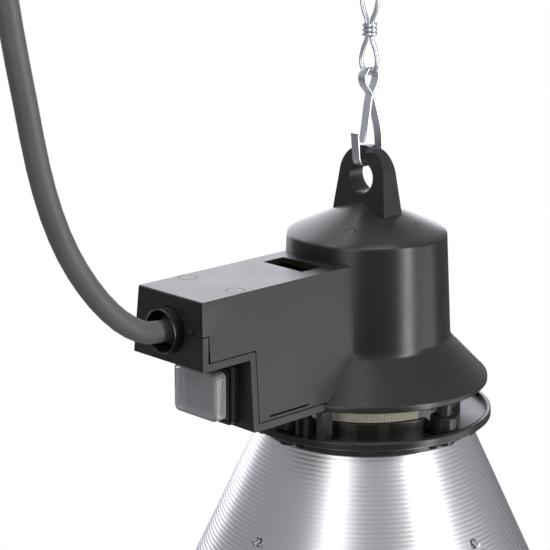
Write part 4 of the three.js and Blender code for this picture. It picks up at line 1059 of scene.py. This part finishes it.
def guard():
    """Two bent bows that cross on the axis, and two hoops, with their hook ends in the reflector."""
    r = GUARD_WIRE / 2
    rim = -MOUTH_Z

    def inside(depth):
        return cone_r(depth) - 4.2 - r

    hook_r = cone_r(GUARD_HOOK_DEPTH)
    half = [
        (hook_r + 3.4, -138), (hook_r - 2.6, -138), (hook_r - 4.6, -140.6), (inside(148), -148),
        (inside(rim - 6), -rim + 6), (inside(rim) - 1, -rim - 9), (88, -GUARD_FLOOR + 12),
        (67, -GUARD_FLOOR + 3.4), (33, -GUARD_FLOOR),
    ]
    parts = []
    for angle, lift in ((0.0, 0.0), (math.pi / 2, GUARD_WIRE * 0.6)):
        line = [(u, 0, z) for u, z in half] + [(0, 0, -GUARD_FLOOR + lift)] + [
            (-u, 0, z) for u, z in reversed(half)
        ]
        parts.append(turned(wire(line, r, 5, 12), angle))
    for radius, z in ((88.0, -GUARD_FLOOR + 12), (45.0, -GUARD_FLOOR + 0.6)):
        parts.append(sweep([Vector((x, y, z)) for x, y, _ in around(96, radius)], circle(r, 12), True))
    return union(*parts)


finished(guard(), "guard_wires", "lamp", GUARD_ZINC, ("wire_guard",), 60)

CAP_TOP_Z = -66.0
LENS_BOTTOM = CAP_TOP_Z - 136.0


def bulb_profile():
    top = CAP_TOP_Z - 26.0 - 0.3
    neck, lens = top - 14, LENS_BOTTOM + 13
    flare = [(0.0, 0.0), (0.24, 0.28), (0.48, 0.5), (0.72, 0.72), (0.88, 0.86), (0.97, 0.95)]
    side = [(15.5, 0, top), *[(20 + 41 * o, 0, neck + (lens - neck) * d) for o, d in flare], (61.0, 0, lens)]
    return [(p.x, p.z) for p in smooth(side, 6)]


def bulb():
    """The envelope: a silvered side and a pressed lens with rings of small domes."""
    side = bulb_profile()
    face = [(60.2, LENS_BOTTOM + 8), (57.5, LENS_BOTTOM + 5.4), (54, LENS_BOTTOM + 4.2)]
    for i in range(1, 37):
        r = 54 * (1 - i / 36)
        z = LENS_BOTTOM + 4.2 * (r / 54) ** 2 + 0.35 * (0.5 - 0.5 * math.cos(2 * math.pi * i / 4))
        face.append((r, z))
    inner = [(r - 2.6, z) for r, z in reversed(side)]
    floor = [(0, LENS_BOTTOM + 2.6), (30, LENS_BOTTOM + 3.6), (53, LENS_BOTTOM + 7)]
    return revolve([*side, *face, *floor, *inner, side[0]], 96)


envelope = finished(bulb(), "bulb_envelope", "bulb", BULB_MIRROR, ("bulb_glass",), 50)
envelope.data.materials.append(LENS_GLASS)
for face in envelope.data.polygons:
    face.material_index = 1 if face.center.z < (LENS_BOTTOM + 14 - HANG) * MM else 0


def bulb_thread():
    points = [
        (0, CAP_TOP_Z - 1), (5.5, CAP_TOP_Z - 1), (6.0, CAP_TOP_Z - 2), (10, CAP_TOP_Z - 3),
        (12, CAP_TOP_Z - 4.4),
    ]
    for i in range(37):
        a = i / 12
        points.append((12.4 + 0.55 * math.cos(2 * math.pi * a), CAP_TOP_Z - 5.0 - 5.0 * a))
    return revolve([*points, (12.2, CAP_TOP_Z - 26), (0, CAP_TOP_Z - 26)], 64)


finished(bulb_thread(), "bulb_thread", "bulb", BRASS, ("bulb_cap",))


def porcelain_holder():
    outline = [
        (0, -33), (3.7, -33), (3.7, -39.1), (16.6, -39.1), (18.4, -39.7), (19, -41.1), (19, -58), (20, -60),
        (20, -83), (21.4, -83.6), (22.4, -84.4), (22.4, -88.6), (21.8, -89.6), (21.2, -90), (16, -90),
        (15.6, -88), (15.6, -60), (0, -60),
    ]
    return revolve(outline, 72)


finished(porcelain_holder(), "porcelain_holder", "lamp", PORCELAIN, ("lampholder",))


# ---------------------------- chain and hooks
def strip_section():
    """Half round edges on a flat strip, as (across the strip, through it)."""
    w, t = STRIP_WIDTH / 2, STRIP_THICK / 2
    return [(-w, 0), (-w + 0.15, t * 0.7), (-w + 0.5, t), (w - 0.5, t), (w - 0.15, t * 0.7), (w, 0),
            (w - 0.15, -t * 0.7), (w - 0.5, -t), (-w + 0.5, -t), (-w + 0.15, -t * 0.7)]


def strip_hook():
    """One strip bent to a gate leg, a small closed loop and an open hook."""
    t, cross = STRIP_THICK / 2, GRIP_Z + 32
    gate = [
        (-3.3, GRIP_Z + 9.6), (-1.8, GRIP_Z + 19), (0.7, cross), (3.9, cross + 5.2), (4.5, cross + 9.4),
        (0.9, HOOK_TOP - t), (-0.6, HOOK_TOP - t),
    ]
    back = [
        (0.9, HOOK_TOP - t), (-0.6, HOOK_TOP - t), (-4.2, cross + 9.4), (-3.5, cross + 5.2), (0.7, cross),
        (4.6, cross - 10.5), (6.7, GRIP_Z + 14), (7.3, GRIP_Z + 6), (6.9, GRIP_Z + 1.8),
        (5.6, GRIP_Z - t + 0.25), (4, GRIP_Z - t), (-4, GRIP_Z - t), (-5.8, GRIP_Z - t + 0.25),
        (-7.2, GRIP_Z + 1.8), (-7.9, GRIP_Z + 6), (-8.8, GRIP_Z + 15),
    ]
    strips = [
        sweep(smooth([(x, 0, z) for x, z in line], 6), strip_section(), upright=Vector((0, 1, 0)))
        for line in (gate, back)
    ]
    return union(*strips)


finished(strip_hook(), "strip_hook_lower", "chain", ZINC, ("snap_hook",), 40)
upper = strip_hook()
middle_z = (FIRST_LINK + LAST_LINK) / 2
upper.data.transform(Matrix.Translation((0, 0, 2 * middle_z)) @ Matrix.Rotation(math.pi, 4, "X"))
finished(upper, "strip_hook_upper", "ceiling_hook", ZINC, ("ceiling_hook",), 40)


def knotted_link(seed):
    """A figure of eight in wire; the two ends are wound side by side round its waist."""
    half, wide, r = 20.2, 5.1, 1.1
    quarter = [
        (0, -half), (wide * 0.72, -half + 1.5), (wide, -half + 5.2), (wide * 0.8, -half * 0.47),
        (1.85, -4.46), (1.35, 0),
    ]
    right = quarter + [(y, -z) for y, z in reversed(quarter[:-1])]
    left = [(-y, z) for y, z in reversed(right[1:-1])]
    eight = wire([(0, y, z) for y, z in right + left], r, 6, 12, closed=True)
    coil, turns = [], 2.9
    for i in range(int(turns * 20) + 1):
        t = i / (turns * 20)
        a = 2 * math.pi * turns * t + seed
        coil.append(Vector((2.05 * math.cos(a), 3.1 * math.sin(a), -3.0 + 6.0 * t + 0.5 * math.sin(a))))
    wound = sweep(coil, circle(1.02, 12))
    return gather([eight, wound])


for index in range(LINKS):
    link = knotted_link(index * 1.7)
    turned(link, (index % 2) * math.pi / 2)
    moved(link, z=FIRST_LINK + index * LINK_PITCH)
    finished(link, f"knotted_link_{index + 1}", "chain", ZINC, (f"chain_link_{index + 1}",), 60)

# ---------------------------- the pieces kept as they are
KEPT = {
    "cord_clamp": COVER_BLACK, "terminal_block": PORCELAIN, "switch_body": GLOSS_BLACK,
    "reflector_clamp": GUARD_ZINC,
    "socket_shell": BRASS, "centre_contact": BRASS, "holder_bracket": GUARD_ZINC, "holder_nut": BRASS,
}
for name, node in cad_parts.items():
    material = KEPT.get(name, ZINC if "screw" in name else None)
    if material is not None:
        node.data.materials.clear()
        node.data.materials.append(material)

# ---------------------------- stage and light
FLOOR_Z, FLOOR_HALF = -1.5, 9.0
corners = [(u * FLOOR_HALF, v * FLOOR_HALF, FLOOR_Z) for u, v in ((-1, -1), (1, -1), (1, 1), (-1, 1))]
floor = new_object("stage_floor", corners, [[0, 1, 2, 3]])
floor_material, floor_tree, floor_shader = base_material(
    "pale_floor", Base_Color=rgb(0.35, 0.35, 0.35), Roughness=0.9
)
glow = add(floor_tree, "ShaderNodeEmission", {"Color": rgb(1, 1, 1), "Strength": 1.0})
seen = add(floor_tree, "ShaderNodeLightPath").outputs["Is Camera Ray"]
mix = add(floor_tree, "ShaderNodeMixShader", {0: seen, 1: floor_shader.outputs[0], 2: glow.outputs[0]})
floor_tree.links.new(mix.outputs[0], floor_tree.nodes["Material Output"].inputs["Surface"])
floor.data.materials.append(floor_material)


def softbox(name, place, aim, width, height, power, tint=(1.0, 1.0, 1.0)):
    light = bpy.data.lights.new(name, "AREA")
    light.shape, light.size, light.size_y, light.energy = "RECTANGLE", width, height, power
    light.color = tint
    obj = bpy.data.objects.new(name, light)
    bpy.context.scene.collection.objects.link(obj)
    obj.location = place
    obj.rotation_mode = "QUATERNION"
    obj.rotation_quaternion = (Vector(aim) - Vector(place)).to_track_quat("-Z", "Y")


CENTRE = (0.0, 0.0, -0.35)
softbox("backdrop", (1.08, 2.03, 0.35), CENTRE, 3.0, 2.6, 52.0, (0.93, 0.92, 1.0))
softbox("overhead", (0.0, 0.2, 1.2), CENTRE, 1.2, 1.2, 14.0)
softbox("right_key", (0.31, -1.45, -0.1), (0.0, 0.0, -0.4), 0.28, 2.0, 20.0)
softbox("left_key", (-1.34, -0.46, 0.1), (0.0, 0.0, -0.4), 0.50, 1.7, 6.5)
softbox("low_front", (1.5, -1.5, -1.0), (0.0, 0.0, -0.35), 1.2, 1.0, 6.5)

world = bpy.data.worlds.new("studio")
world.use_nodes = True
bpy.context.scene.world = world
sky = world.node_tree.nodes["Background"]
sky.inputs["Color"].default_value = rgb(0.93, 0.94, 1.0)
sky.inputs["Strength"].default_value = 0.40
bpy.context.scene.view_settings.view_transform = "Standard"
